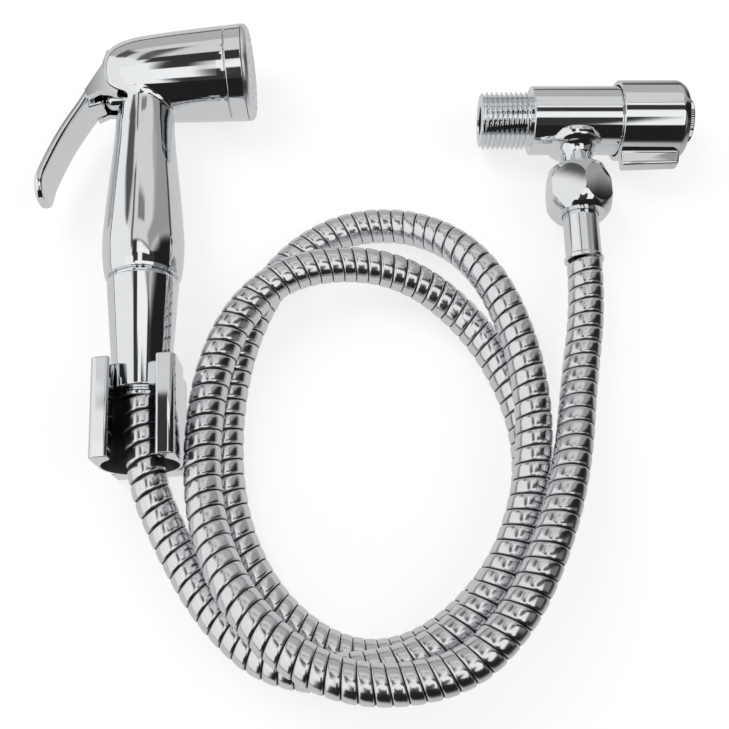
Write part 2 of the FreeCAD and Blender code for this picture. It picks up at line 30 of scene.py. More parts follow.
mm = 0.001
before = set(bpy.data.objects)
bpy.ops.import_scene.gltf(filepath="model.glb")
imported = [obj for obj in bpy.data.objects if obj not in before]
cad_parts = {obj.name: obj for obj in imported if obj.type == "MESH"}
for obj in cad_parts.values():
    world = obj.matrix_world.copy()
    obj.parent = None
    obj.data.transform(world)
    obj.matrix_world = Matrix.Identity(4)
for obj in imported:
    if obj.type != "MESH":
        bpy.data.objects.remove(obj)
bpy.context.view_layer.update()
scene = bpy.context.scene
print("frame loaded:", len(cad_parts), "nodes")

layout = {
    "shift": (-2.2, -43.1, 0.0),          # picture's middle to the frame's origin
    "handset": (-82.6, 107.6, 18.5),      # where the head's axis meets the handle's axis
    "handsetLean": 3.7,                   # degrees to the left
    "valve": (78.2, 92.0, 14.8),          # where the outlet's axis meets the valve's axis
    "headTilt": 1.2,                      # degrees, the head turns up from the handle's square
}
shift = Vector(layout["shift"])
handsetFrame = (Matrix.Translation((Vector(layout["handset"]) + shift) * mm)
                @ Matrix.Rotation(math.radians(layout["handsetLean"]), 4, "Z"))
valveFrame = Matrix.Translation((Vector(layout["valve"]) + shift) * mm)
headFrame = handsetFrame @ Matrix.Rotation(math.radians(layout["headTilt"]), 4, "Z")
pointDown = Matrix.Rotation(math.radians(-90), 4, "Z")     # turns a lathe's own +X to its group's -Y
roundSides = 112          # sides of the large round pieces
fineRound = 0.2           # the round of small machined edges
clear = 1.0               # how far a cutting tool stands out of its piece


# Materials

def hexColour(text):
    values = [int(text[at:at + 2], 16) / 255 for at in (1, 3, 5)]
    linear = [value / 12.92 if value <= 0.04045 else ((value + 0.055) / 1.055) ** 2.4 for value in values]
    return (*linear, 1.0)


def addNode(tree, kind, settings=None, links=None):
    node = tree.nodes.new(kind)
    for name, value in (settings or {}).items():
        if isinstance(name, str) and hasattr(node, name):
            setattr(node, name, value)
        else:
            node.inputs[name].default_value = value
    for name, source in (links or {}).items():
        tree.links.new(source, node.inputs[name])
    return node


def newMaterial(name):
    material = bpy.data.materials.new(name)
    material.use_nodes = True
    tree = material.node_tree
    tree.nodes.clear()
    output = addNode(tree, "ShaderNodeOutputMaterial")
    return material, tree, output


def giveSurface(tree, output, settings, colour, rough, bump):
    # the shader that every finish ends with
    shader = addNode(tree, "ShaderNodeBsdfPrincipled", settings,
                     {"Base Color": colour, "Roughness": rough, "Normal": bump.outputs["Normal"]})
    tree.links.new(shader.outputs["BSDF"], output.inputs["Surface"])


def metalMaterial(name, look):
    # look: colour, its worn shade, roughness low and high, smudge size in mm, and the surface's waves: their
    # size and height in mm, and their strength
    material, tree, output = newMaterial(name)
    place = addNode(tree, "ShaderNodeTexCoord")
    smudge = addNode(tree, "ShaderNodeTexNoise",
                     {"Scale": 1 / (look["smudgeSize"] * mm), "Detail": 4.0, "Roughness": 0.6},
                     {"Vector": place.outputs["Object"]})
    low, high = look["rough"]
    rough = addNode(tree, "ShaderNodeMapRange",
                    {"From Min": 0.35, "From Max": 0.7, "To Min": low, "To Max": high},
                    {"Value": smudge.outputs["Fac"]})
    tint = addNode(tree, "ShaderNodeMix",
                   {"data_type": "RGBA", 6: hexColour(look["colour"]), 7: hexColour(look["worn"])},
                   {0: smudge.outputs["Fac"]})
    wave = addNode(tree, "ShaderNodeTexNoise",
                   {"Scale": 1 / (look["waveSize"] * mm), "Detail": 2.0, "Roughness": 0.4},
                   {"Vector": place.outputs["Object"]})
    bump = addNode(tree, "ShaderNodeBump",
                   {"Strength": look["waveStrength"], "Distance": look["waveHeight"] * mm},
                   {"Height": wave.outputs["Fac"]})
    giveSurface(tree, output, {"Metallic": 1.0}, tint.outputs[2], rough.outputs["Result"], bump)
    return material


def plainMaterial(name, look):
    # look: colour, its dusty shade, roughness low and high, grain size in mm, bump height in mm
    material, tree, output = newMaterial(name)
    place = addNode(tree, "ShaderNodeTexCoord")
    grain = addNode(tree, "ShaderNodeTexNoise",
                    {"Scale": 1 / (look["grainSize"] * mm), "Detail": 5.0, "Roughness": 0.65},
                    {"Vector": place.outputs["Object"]})
    tint = addNode(tree, "ShaderNodeMix",
                   {"data_type": "RGBA", 6: hexColour(look["colour"]), 7: hexColour(look["dust"])},
                   {0: grain.outputs["Fac"]})
    low, high = look["rough"]
    rough = addNode(tree, "ShaderNodeMapRange", {"To Min": low, "To Max": high},
                    {"Value": grain.outputs["Fac"]})
    bump = addNode(tree, "ShaderNodeBump", {"Strength": 0.4, "Distance": look["bump"] * mm},
                   {"Height": grain.outputs["Fac"]})
    giveSurface(tree, output, {"IOR": 1.5}, tint.outputs[2], rough.outputs["Result"], bump)
    return material


def hoseMaterial(name, look):
    # bright strip on the crests; the mesh's groove attribute roughens the lock between turns and darkens it
    # with painted shade
    material, tree, output = newMaterial(name)
    place = addNode(tree, "ShaderNodeTexCoord")
    groove = addNode(tree, "ShaderNodeAttribute", {"attribute_name": "groove"})
    draw = addNode(tree, "ShaderNodeTexNoise", {"Scale": 1 / (look["drawSize"] * mm), "Detail": 3.0},
                   {"Vector": place.outputs["Object"]})
    # the second colour is painted shade in the grooves, mixed in by the groove attribute
    tint = addNode(tree, "ShaderNodeMix",
                   {"data_type": "RGBA", 6: hexColour(look["colour"]), 7: hexColour(look["grooveShade"])},
                   {0: groove.outputs["Fac"]})
    low, high = look["rough"]
    polish = addNode(tree, "ShaderNodeMapRange", {"To Min": low, "To Max": high},
                     {"Value": draw.outputs["Fac"]})
    rough = addNode(tree, "ShaderNodeMath", {"operation": "MULTIPLY_ADD", 1: look["lockRough"]},
                    {0: groove.outputs["Fac"], 2: polish.outputs["Result"]})
    bump = addNode(tree, "ShaderNodeBump", {"Strength": 0.25, "Distance": look["bump"] * mm},
                   {"Height": draw.outputs["Fac"]})
    giveSurface(tree, output, {"Metallic": 1.0}, tint.outputs[2], rough.outputs["Value"], bump)
    return material


# polished brass, plated with nickel and chrome: mirror-bright and slightly blue, with faint hand smudges
chromePlate = metalMaterial("chromePlate", {
    "colour": "#eceef0", "worn": "#e2e4e6", "rough": (0.03, 0.075), "smudgeSize": 22,
    "waveSize": 14, "waveHeight": 0.03, "waveStrength": 0.12})
# moulded plastic spray face under a satin plate: softer reflections
satinPlate = metalMaterial("satinPlate", {
    "colour": "#f2f3f5", "worn": "#e8eaec", "rough": (0.26, 0.36), "smudgeSize": 9,
    "waveSize": 3, "waveHeight": 0.02, "waveStrength": 0.15})
# drawn stainless wire and pins: bright, a little rougher than plate
drawnSteel = metalMaterial("drawnSteel", {
    "colour": "#cfcfd0", "worn": "#b9b9ba", "rough": (0.18, 0.3), "smudgeSize": 4,
    "waveSize": 1.2, "waveHeight": 0.02, "waveStrength": 0.2})
# inside of the castings, left as cast: grey and dull
castInside = metalMaterial("castInside", {
    "colour": "#77787b", "worn": "#58595c", "rough": (0.34, 0.5), "smudgeSize": 3,
    "waveSize": 0.9, "waveHeight": 0.05, "waveStrength": 0.3})
# machined brass inside the valve: warm, with fine tool marks
machinedBrass = metalMaterial("machinedBrass", {
    "colour": "#c9a24f", "worn": "#a9853c", "rough": (0.2, 0.34), "smudgeSize": 5,
    "waveSize": 0.8, "waveHeight": 0.02, "waveStrength": 0.2})
# stainless strip wound and locked into a hose: shiny crests, with painted shade darkening the locks
stripSteel = hoseMaterial("stripSteel", {
    "colour": "#e2e3e5", "grooveShade": "#2c2d30", "rough": (0.13, 0.21), "lockRough": 0.3, "drawSize": 6,
    "bump": 0.03})
# moulded nitrile rubber: near black and matt
sealRubber = plainMaterial("sealRubber", {
    "colour": "#17171a", "dust": "#232326", "rough": (0.5, 0.75), "grainSize": 0.8, "bump": 0.03})
# lapped alumina discs: off-white and smooth
alumina = plainMaterial("alumina", {
    "colour": "#e8e5dc", "dust": "#dcd8cd", "rough": (0.15, 0.25), "grainSize": 1.0, "bump": 0.005})
print("materials made")


# Mesh helpers

def circleTurns(sides):
    return [2 * math.pi * number / sides for number in range(sides)]


def cleanMesh(mesh, merge=0.001, sharpAngle=33):
    # merges points nearer than merge in mm, turns faces outwards and smooths them up to an angle
    work = bmesh.new()
    work.from_mesh(mesh)
    bmesh.ops.remove_doubles(work, verts=work.verts, dist=merge * mm)
    bmesh.ops.recalc_face_normals(work, faces=work.faces)
    work.to_mesh(mesh)
    work.free()
    for face in mesh.polygons:
        face.use_smooth = True
    mesh.set_sharp_from_angle(angle=math.radians(sharpAngle))


def makePiece(name, points, faces, material, placement=None):
    mesh = bpy.data.meshes.new(name)
    mesh.from_pydata([tuple(point) for point in points], [], faces)
    cleanMesh(mesh)
    if placement is not None:
        mesh.transform(placement)
    mesh.materials.append(material)
    piece = bpy.data.objects.new(name, mesh)
    scene.collection.objects.link(piece)
    return piece


def finishPiece(piece, name, node, body="root", sharpAngle=33):
    # cleans what the cutting left, and gives the piece to the frame in place of a solid
    cleanMesh(piece.data, 0.002, sharpAngle)
    piece.name = piece.data.name = name
    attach(piece, body)
    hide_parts(node)


def roundedOutline(corners, steps=6, hold=0.12, most=0.46):
    # corners are (along, radius, fillet); each fillet becomes an arc with a holding point at each side, and
    # takes up no more of a side than the share in most
    outline = []
    for number, (along, radius, fillet) in enumerate(corners):
        here = Vector((along, radius))
        if fillet <= 0 or number in (0, len(corners) - 1):
            outline.append(here)
            continue
        before = Vector(corners[number - 1][:2]) - here
        after = Vector(corners[number + 1][:2]) - here
        half = before.angle(after) / 2
        reach = min(fillet / math.tan(half), most * before.length, most * after.length)
        bend = reach * math.tan(half)
        centre = here + (before.normalized() + after.normalized()).normalized() * (bend / math.sin(half))
        start = here + before.normalized() * reach
        end = here + after.normalized() * reach
        swing = (start - centre).angle(end - centre)
        outline.append(start + before.normalized() * hold * bend)
        for step in range(steps + 1):
            share = step / steps
            spoke = (start - centre).lerp(end - centre, share)
            if swing > 0.01:
                spoke = ((start - centre) * math.sin((1 - share) * swing)
                         + (end - centre) * math.sin(share * swing)) / math.sin(swing)
            outline.append(centre + spoke)
        outline.append(end + after.normalized() * hold * bend)
    return outline


def roundedLoop(corners):
    # a closed outline with its corners rounded, begun at the middle of its last edge
    first, last = Vector(corners[0][:2]), Vector(corners[-1][:2])
    middle = (*((first + last) / 2), 0)
    return roundedOutline([middle, *corners, middle])[:-1]


def smoothCurve(points, steps=8):
    # a smooth curve through points
    ends = [2 * Vector(points[0]) - Vector(points[1]), 2 * Vector(points[-1]) - Vector(points[-2])]
    line = [ends[0]] + [Vector(point) for point in points] + [ends[1]]
    curve = []
    for number in range(1, len(line) - 2):
        before, here, there, after = line[number - 1:number + 3]
        for step in range(steps):
            share = step / steps
            curve.append(0.5 * (2 * here + (there - before) * share
                                + (2 * before - 5 * here + 4 * there - after) * share ** 2
                                + (3 * here - before - 3 * there + after) * share ** 3))
    return curve + [line[-2]]


def ringFaces(rings, count, loop=False, caps=False):
    # faces between neighbouring rings of points; a loop's last ring meets its first, and caps close the ends
    faces = [(ring * count + number, ring * count + (number + 1) % count,
              (ring + 1) % rings * count + (number + 1) % count, (ring + 1) % rings * count + number)
             for ring in range(rings if loop else rings - 1) for number in range(count)]
    if caps:
        faces += [tuple(range(count)), tuple(range((rings - 1) * count, rings * count))]
    return faces


def lathe(name, outline, material, placement, sides=roundSides, loop=False):
    # an outline of along and radius turned about X; it ends on the axis or is a loop
    points = [(along * mm, radius * math.cos(turn) * mm, radius * math.sin(turn) * mm)
              for along, radius in outline for turn in circleTurns(sides)]
    return makePiece(name, points, ringFaces(len(outline), sides, loop), material, placement)


def latheLoop(name, corners, placement, sides=roundSides):
    return lathe(name, roundedLoop(corners), chromePlate, placement, sides, True)


def solidOutline(line):
    # a lathe's outline led in from the axis and back to it
    return [(line[0][0], 0.0), *line, (line[-1][0], 0.0)]


def slabData(outline, low, high):
    # an outline in X and Y given a thickness along Z
    points = [Vector((x, y, height)) * mm for height in (low, high) for x, y in outline]
    return points, ringFaces(2, len(outline), caps=True)


def boxData(low, high):
    outline = [(low[0], low[1]), (high[0], low[1]), (high[0], high[1]), (low[0], high[1])]
    return slabData(outline, low[2], high[2])


def joinPieces(name, pieces):
    # several closed shells as one piece
    work = bmesh.new()
    for piece in pieces:
        work.from_mesh(piece.data)
    mesh = bpy.data.meshes.new(name)
    work.to_mesh(mesh)
    work.free()
    mesh.materials.append(pieces[0].data.materials[0])
    for piece in pieces:
        bpy.data.objects.remove(piece)
    joined = bpy.data.objects.new(name, mesh)
    scene.collection.objects.link(joined)
    return joined


def applyModifiers(piece):
    bpy.context.view_layer.update()
    depsgraph = bpy.context.evaluated_depsgraph_get()
    result = bpy.data.meshes.new_from_object(piece.evaluated_get(depsgraph))
    piece.modifiers.clear()
    piece.data = result


def carve(piece, tool, operation="DIFFERENCE"):
    # exact boolean; the tool is removed, and the cut faces take its material
    cut = piece.modifiers.new("cut", "BOOLEAN")
    cut.operation = operation
    cut.solver = "EXACT"
    cut.material_mode = "TRANSFER"
    cut.object = tool
    applyModifiers(piece)
    bpy.data.objects.remove(tool)


def bevelEdges(piece, width, segments=3, angle=30):
    # rounds the edges of a piece that turn more than the angle
    bevel = piece.modifiers.new("edges", "BEVEL")
    bevel.width = width * mm
    bevel.segments = segments
    bevel.limit_method = "ANGLE"
    bevel.angle_limit = math.radians(angle)
    bevel.harden_normals = False
    applyModifiers(piece)


def newTree(name, inputs):
    # a geometry tree with the given inputs after its geometry
    tree = bpy.data.node_groups.new(name, "GeometryNodeTree")
    for label, kind in [("Geometry", "Geometry"), *inputs]:
        tree.interface.new_socket(label, in_out="INPUT", socket_type="NodeSocket" + kind)
    tree.interface.new_socket("Geometry", in_out="OUTPUT", socket_type="NodeSocketGeometry")
    return tree, addNode(tree, "NodeGroupInput").outputs


def endTree(tree, geometry, material):
    # the copies made real and painted
    real = addNode(tree, "GeometryNodeRealizeInstances", {}, {"Geometry": geometry})
    painted = addNode(tree, "GeometryNodeSetMaterial", {},
                      {"Geometry": real.outputs["Geometry"], "Material": material})
    addNode(tree, "NodeGroupOutput", {}, {"Geometry": painted.outputs["Geometry"]})


def setInputs(modifier, values):
    for item in modifier.node_group.interface.items_tree:
        if item.item_type == "SOCKET" and item.in_out == "INPUT" and item.name in values:
            modifier[item.identifier] = values[item.name]


def plainResult(source, name):
    # the evaluated object as a plain mesh object of its own, and the source removed
    bpy.context.view_layer.update()
    depsgraph = bpy.context.evaluated_depsgraph_get()
    mesh = bpy.data.meshes.new_from_object(source.evaluated_get(depsgraph), preserve_all_data_layers=True,
                                           depsgraph=depsgraph)
    mesh.name = name
    bpy.data.objects.remove(source)
    piece = bpy.data.objects.new(name, mesh)
    scene.collection.objects.link(piece)
    return piece


# Handset: head and handle in one casting, collar, spray face, lever and the cone nut

headShape = {
    "side": [(-14.6, 5.2), (-14.15, 8.1), (-12.9, 10.7), (-10.6, 12.7), (-6.5, 14.35), (0.0, 15.6),
             (14.0, 16.65), (30.7, 17.48)],
    "flat": 2.6,              # radius of the even middle of the back
    "front": [(31.05, 17.45), (31.2, 17.2)],           # edge against the collar
    "room": (23.0, 15.3),     # where the nozzle room starts and its radius
}
handleShape = {
    "line": [(22.0, 10.7), (30.5, 11.2), (47.0, 12.7), (60.0, 13.7), (70.0, 14.2), (78.0, 13.75),
             (82.2, 13.1)],
    "foot": [(83.2, 12.0), (83.2, 12.3), (82.95, 12.75)],        # edge against the cone nut
    "topRadius": 10.35,
    "flare": 2.2,             # reach of the round where the handle meets the head
    "sink": (0.3, 0.9),       # how far its end goes on outwards and up under the head's skin
    "socket": (74.2, 8.65),   # where the nipple's socket starts and its radius
}
slotShape = {"low": (-24.0, -14.6, -9.5), "high": (-4.0, 9.5, 9.5), "round": 1.2}
plungerBore = {"line": -8.5, "radius": 3.6, "start": -20.0, "end": 14.0}


def headRadius(along):
    side = headShape["side"]
    for (before, low), (after, high) in zip(side, side[1:]):
        if along <= after:
            return low + (high - low) * max(0, along - before) / (after - before)
    return side[-1][1]


def headSkin(outward, reach):
    # point of the head's skin at a reach from the handle's axis
    tilt = math.radians(layout["headTilt"])
    x, z = outward.x * reach, outward.z * reach
    drop = math.sqrt(headRadius(x) ** 2 - z * z)
    return Vector((x + drop * math.sin(tilt), -drop * math.cos(tilt) + x * math.sin(tilt), z))


def handleTop(steps=6):
    # rings that leave the handle, bend outwards and end just under the head's skin
    radius, flare = handleShape["topRadius"], handleShape["flare"]
    further, higher = handleShape["sink"]
    lines = []
    for turn in circleTurns(roundSides):
        outward = Vector((math.cos(turn), 0, math.sin(turn)))
        corner = headSkin(outward, radius)
        foot = corner - Vector((0, flare, 0))
        rim = headSkin(outward, radius + flare)
        inside = headSkin(outward, radius + flare + further) + Vector((0, higher, 0))
        shares = [step / steps for step in range(steps + 1)]
        bend = [foot.lerp(corner, share).lerp(corner.lerp(rim, share), share) for share in shares]
        lines.append(bend + [inside])
    return list(zip(*lines))


def makeHandset():
    side, front = headShape["side"], headShape["front"]
    roomStart, roomRadius = headShape["room"]
    outline = [(side[0][0], headShape["flat"]), *smoothCurve(side, 7), *front, (front[-1][0], roomRadius),
               (roomStart, roomRadius)]
    shell = lathe("shell", solidOutline(outline), chromePlate, headFrame)
    line = handleShape["foot"] + smoothCurve(handleShape["line"][::-1], 6)
    points = [Vector((radius * math.cos(turn), -along, radius * math.sin(turn)))
              for along, radius in line for turn in circleTurns(roundSides)]
    top = handleTop()
    for ring in top:
        points += ring
    faces = ringFaces(len(line) + len(top), roundSides, caps=True)
    handle = makePiece("handle", [point * mm for point in points], faces, chromePlate, handsetFrame)
    carve(shell, handle, "UNION")
    slot = makePiece("slot", *boxData(slotShape["low"], slotShape["high"]), castInside)
    bevelEdges(slot, slotShape["round"], 4)
    slot.data.transform(handsetFrame)
    carve(shell, slot)
    radius = plungerBore["radius"]
    bore = solidOutline([(plungerBore["start"], radius), (plungerBore["end"], radius)])
    borePlace = handsetFrame @ Matrix.Translation((0, plungerBore["line"] * mm, 0))
    carve(shell, lathe("bore", bore, chromePlate, borePlace, 48))
    start, radius = handleShape["socket"]
    socket = solidOutline([(start, radius), (line[0][0] + clear, radius)])
    carve(shell, lathe("socket", socket, chromePlate, handsetFrame @ pointDown, 64))
    finishPiece(shell, "handset_shell", "handset_body", sharpAngle=28)


collarShape = {
    "start": 31.5, "end": 37.6, "startRadius": 17.5, "endRadius": 17.8, "edge": 0.35,
    "inside": 30.0, "neck": 15.2,       # its thinner end in the head
    "seat": 34.7, "seatRadius": 15.4, "throat": 13.7,
}


def makeCollar():
    size = collarShape
    corners = [(size["inside"], size["neck"], fineRound), (size["start"], size["neck"], 0),
               (size["start"], size["startRadius"], size["edge"]),
               (size["end"], size["endRadius"], size["edge"]),
               (size["end"], size["seatRadius"], fineRound), (size["seat"], size["seatRadius"], 0),
               (size["seat"], size["throat"], fineRound), (size["inside"], size["throat"], fineRound)]
    finishPiece(latheLoop("collar", corners, headFrame), "front_collar", "spray_collar")


faceShape = {
    "start": 37.75, "edge": 0.2, "rim": 17.75, "rimRound": 3.2,
    "crown": 41.0,            # front of the face at its middle
    "fall": 0.7,              # and how much further back it is where the rim's round starts
    "rings": [(1, 0.0), (6, 4.6), (12, 9.2), (18, 13.4)],
    "nozzle": [(-0.8, 1.2), (0.02, 1.0), (0.09, 0.85), (0.07, 0.62), (-0.3, 0.5), (-0.3, 0.0)],
}


def ringTree():
    # copies of a small solid round a circle in the YZ plane, at a place along X
    tree, given = newTree("ringOfCopies", [("Count", "Int"), ("Radius", "Float"), ("Along", "Float"),
                                           ("Material", "Material")])
    circle = addNode(tree, "GeometryNodeMeshCircle", {},
                     {"Vertices": given["Count"], "Radius": given["Radius"]})
    upright = addNode(tree, "GeometryNodeTransform", {"Rotation": (0, math.pi / 2, 0)},
                      {"Geometry": circle.outputs["Mesh"]})
    spot = addNode(tree, "ShaderNodeCombineXYZ", {}, {"X": given["Along"]})
    moved = addNode(tree, "GeometryNodeTransform", {},
                    {"Geometry": upright.outputs["Geometry"], "Translation": spot.outputs["Vector"]})
    copies = addNode(tree, "GeometryNodeInstanceOnPoints", {},
                     {"Points": moved.outputs["Geometry"], "Instance": given["Geometry"]})
    endTree(tree, copies.outputs["Instances"], given["Material"])
    return tree


def crownAt(radius):
    # how far forward the face's crown stands at a radius
    shoulder = faceShape["rim"] - faceShape["rimRound"]
    return faceShape["crown"] - faceShape["fall"] * (radius / shoulder) ** 2


def makeFace():
    start, edge, rim, bend = (faceShape[name] for name in ("start", "edge", "rim", "rimRound"))
    shoulder = rim - bend
    drop = crownAt(shoulder) - start - edge
    outline = [(start, 0.0), (start, rim - edge), (start + 0.75 * edge, rim)]
    outline += [(start + edge + drop * math.sin(angle), shoulder + bend * math.cos(angle))
                for angle in np.linspace(0, math.pi / 2, 11)]
    outline += [(crownAt(shoulder * share), shoulder * share)
                for share in (0.9, 0.75, 0.6, 0.45, 0.3, 0.15, 0)]
    pieces = [lathe("plate", outline, satinPlate, headFrame)]
    tree = ringTree()
    for count, reach in faceShape["rings"]:
        nub = lathe("nozzles", faceShape["nozzle"], satinPlate, None, 20)
        if count > 1:
            modifier = nub.modifiers.new("ring", "NODES")
            modifier.node_group = tree
            setInputs(modifier, {"Count": count, "Radius": reach * mm, "Along": crownAt(reach) * mm,
                                 "Material": satinPlate})
        else:
            nub.data.transform(Matrix.Translation((crownAt(reach) * mm, 0, 0)))
        copies = plainResult(nub, "nozzles")
        copies.data.transform(headFrame)
        pieces.append(copies)
    finishPiece(joinPieces("face", pieces), "nozzle_face", "spray_plate")


leverShape = {
    "back": [(-12.6, 7.4), (-14.6, 2.0), (-21.1, -8.9), (-29.9, -24.2), (-36.1, -38.3), (-37.7, -45.0),
             (-37.6, -51.4)],
    "front": [(-10.6, 5.8), (-12.6, 0.4), (-18.6, -10.4), (-27.3, -25.6), (-33.2, -39.6), (-34.6, -45.4),
              (-34.7, -51.2)],
    "rootHalf": 9.0, "tipHalf": 7.5,       # half widths across the blade
    "narrowing": (8.0, -14.0),             # from where to where down the handle the one becomes the other
    "tipRound": 7.5, "tipHalfLeast": 1.2, "edge": 1.05, "crown": 0.25,
    "cheek": [(-12.8, 7.4), (-9.0, 8.0), (-5.8, 4.0), (-7.4, -6.0), (-8.6, -12.2), (-12.0, -10.6),
              (-15.4, -10.2), (-19.4, -12.2), (-20.4, -9.4), (-14.4, 1.4)],
    "cheekThickness": 2.6,
    "pad": [(-18.3, -5.0), (-15.2, -5.0), (-15.2, -12.0), (-20.6, -13.6)],       # what presses the plunger
    "padHalf": 4.0, "padRound": 0.8,
    "pin": (-9.0, 4.0), "pinRadius": 1.55,
}


def bladeSection(back, front, half, steps=5):
    # rounded rectangle between the back and the front, half its width to each side, as a closed ring
    thick = (front - back).length
    across = (front - back) / thick
    # the round takes less than half of the thickness and less than the half width
    edge = min(leverShape["edge"], 0.47 * thick, 0.9 * half)
    ring = []
    for cornerX, cornerZ, begin in ((thick - edge, half - edge, 0), (edge, half - edge, 90),
                                    (edge, edge - half, 180), (thick - edge, edge - half, 270)):
        for step in range(steps + 1):
            angle = math.radians(begin + 90 * step / steps)
            reach = cornerX + edge * math.cos(angle)
            height = cornerZ + edge * math.sin(angle)
            crown = leverShape["crown"] * (1 - (2 * reach / thick - 1) ** 2) * (1 if height > 0 else -1)
            ring.append(Vector((*(back + across * reach), height + crown)))
    return ring


def makeLever():
    backLine = smoothCurve(leverShape["back"], 10)
    frontLine = smoothCurve(leverShape["front"], 10)
    tipEnd = (backLine[-1] + frontLine[-1]) / 2
    rootHalf, tipHalf, tipRound = leverShape["rootHalf"], leverShape["tipHalf"], leverShape["tipRound"]
    high, low = leverShape["narrowing"]
    rings = []
    for back, front in zip(backLine, frontLine):
        middle = (back + front) / 2
        half = rootHalf + (tipHalf - rootHalf) * min(1, max(0, (high - middle.y) / (high - low)))
        left = (middle - tipEnd).length
        if left < tipRound:
            half *= math.sqrt(max(0.0, 1 - (1 - left / tipRound) ** 2))
        if half >= leverShape["tipHalfLeast"]:
            rings.append(bladeSection(back, front, half))
    points = [point * mm for ring in rings for point in ring]
    lever = makePiece("lever", points, ringFaces(len(rings), len(rings[0]), caps=True), chromePlate)
    thick = leverShape["cheekThickness"]
    for cheekLow in (-rootHalf, rootHalf - thick):
        cheek = slabData(leverShape["cheek"], cheekLow, cheekLow + thick)
        carve(lever, makePiece("cheek", *cheek, chromePlate), "UNION")
    reach = leverShape["padHalf"]
    pad = makePiece("pad", *slabData(leverShape["pad"], -reach, reach), chromePlate)
    bevelEdges(pad, leverShape["padRound"], 3)
    carve(lever, pad, "UNION")
    pinX, pinY = leverShape["pin"]
    out = rootHalf + 3 * clear
    eye = solidOutline([(-out, leverShape["pinRadius"]), (out, leverShape["pinRadius"])])
    across = Matrix.Translation((pinX * mm, pinY * mm, 0)) @ Matrix.Rotation(math.radians(90), 4, "Y")
    carve(lever, lathe("eye", eye, chromePlate, across, 40))
    lever.data.transform(handsetFrame)
    finishPiece(lever, "squeeze_lever", "trigger_lever", "trigger", sharpAngle=30)


coneShape = {
    "top": 84.6, "topRadius": 12.35, "topEdge": 0.555,
    "bottom": 124.4, "bottomRadius": 9.35, "bottomEdge": 0.8,
    "thread": 10.55, "shoulder": 96.4, "seat": 101.2, "seatRadius": 9.95, "throat": 6.6, "throatRound": 0.3,
}


def makeConeNut():
    size = coneShape
    corners = [(size["seat"], size["seatRadius"], 0), (size["shoulder"], size["thread"], 0),
               (size["top"], size["thread"], fineRound), (size["top"], size["topRadius"], size["topEdge"]),
               (size["bottom"], size["bottomRadius"], size["bottomEdge"]),
               (size["bottom"], size["throat"], size["throatRound"]), (size["seat"], size["throat"], 0)]
    finishPiece(latheLoop("cone", corners, handsetFrame @ pointDown), "hose_cone", "cone_nut")


endShape = {
    "inside": 98.5, "flange": 9.4, "flangeEnd": 101.1, "flangeRound": 0.3, "tube": 6.35, "tubeRound": 0.2,
    "lipStart": 125.2, "lipFull": 125.6, "lip": 6.7, "lipRound": 0.35, "end": 126.8, "bore": 4.4,
}


def flangedTube(name, size, placement, sides):
    # a fitting with a flange at its inner end and a lip where the hose goes in
    corners = [(size["inside"], size["flange"], size["flangeRound"]),
               (size["flangeEnd"], size["flange"], size["flangeRound"]), (size["flangeEnd"], size["tube"], 0),
               (size["lipStart"], size["tube"], size["tubeRound"]), (size["lipFull"], size["lip"], fineRound),
               (size["end"], size["lip"], size["lipRound"]), (size["end"], size["bore"], fineRound),
               (size["inside"], size["bore"], fineRound)]
    return latheLoop(name, corners, placement, sides)


def makeEndFitting():
    fitting = flangedTube("fitting", endShape, handsetFrame @ pointDown, 72)
    finishPiece(fitting, "hose_end", "handset_end_fitting")


# Wall holder: one slotted cup, drawn as a section and run along the handset's axis

holderShape = {
    "top": 115.8, "length": 33.7, "radius": 13.7, "front": 14.6, "slot": 15.0, "seat": 9.85,
    "blockHalf": 12.0, "blockBack": -18.5, "blockFront": -9.5, "blockRounds": (0.6, 0.8),
    "round": 2.2, "innerRound": 0.9, "endRound": 0.5, "seatRound": 0.5,
    "frontFall": 0.45,        # how much the left front falls outwards
    # hollow for the cone: mm under the top, radius
    "hollow": [(-1.0, 11.4), (0.8, 10.05), (8.0, 9.7), (10.0, 11.2), (24.7, 11.2), (33.7, 12.7),
               (34.7, 12.7)],
    "screws": (126.15, 142.15), "screwRadius": 2.1, "screwHead": 4.0, "screwSink": (-13.4, -11.2),
    "screwTop": -9.0,
}


def holderLoop(wallSteps=6, seatSteps=44):
    size = holderShape
    half, seat, outer = size["slot"] / 2, size["seat"], size["radius"]
    cut = math.atan2(math.sqrt(seat ** 2 - half ** 2), half)
    foot = math.asin(-size["blockFront"] / outer)
    corners = [(half, size["front"], size["innerRound"]), (outer, size["front"], size["round"]),
               (outer, 0.0, 0)]
    for step in range(1, wallSteps + 1):
        angle = -foot * step / wallSteps
        corners.append((outer * math.cos(angle), outer * math.sin(angle), 0))
    for depth, bend in zip((size["blockFront"], size["blockBack"]), size["blockRounds"]):
        corners.append((size["blockHalf"], depth, bend))
    corners += [(-x, z, bend) for x, z, bend in corners[::-1]]
    corners[-2] = (-outer, size["front"] - size["frontFall"], size["round"])
    for step in range(seatSteps + 1):
        angle = math.pi - cut + (math.pi + 2 * cut) * step / seatSteps
        bend = size["seatRound"] if step in (0, seatSteps) else 0
        corners.append((seat * math.cos(angle), seat * math.sin(angle), bend))
    return roundedLoop(corners)


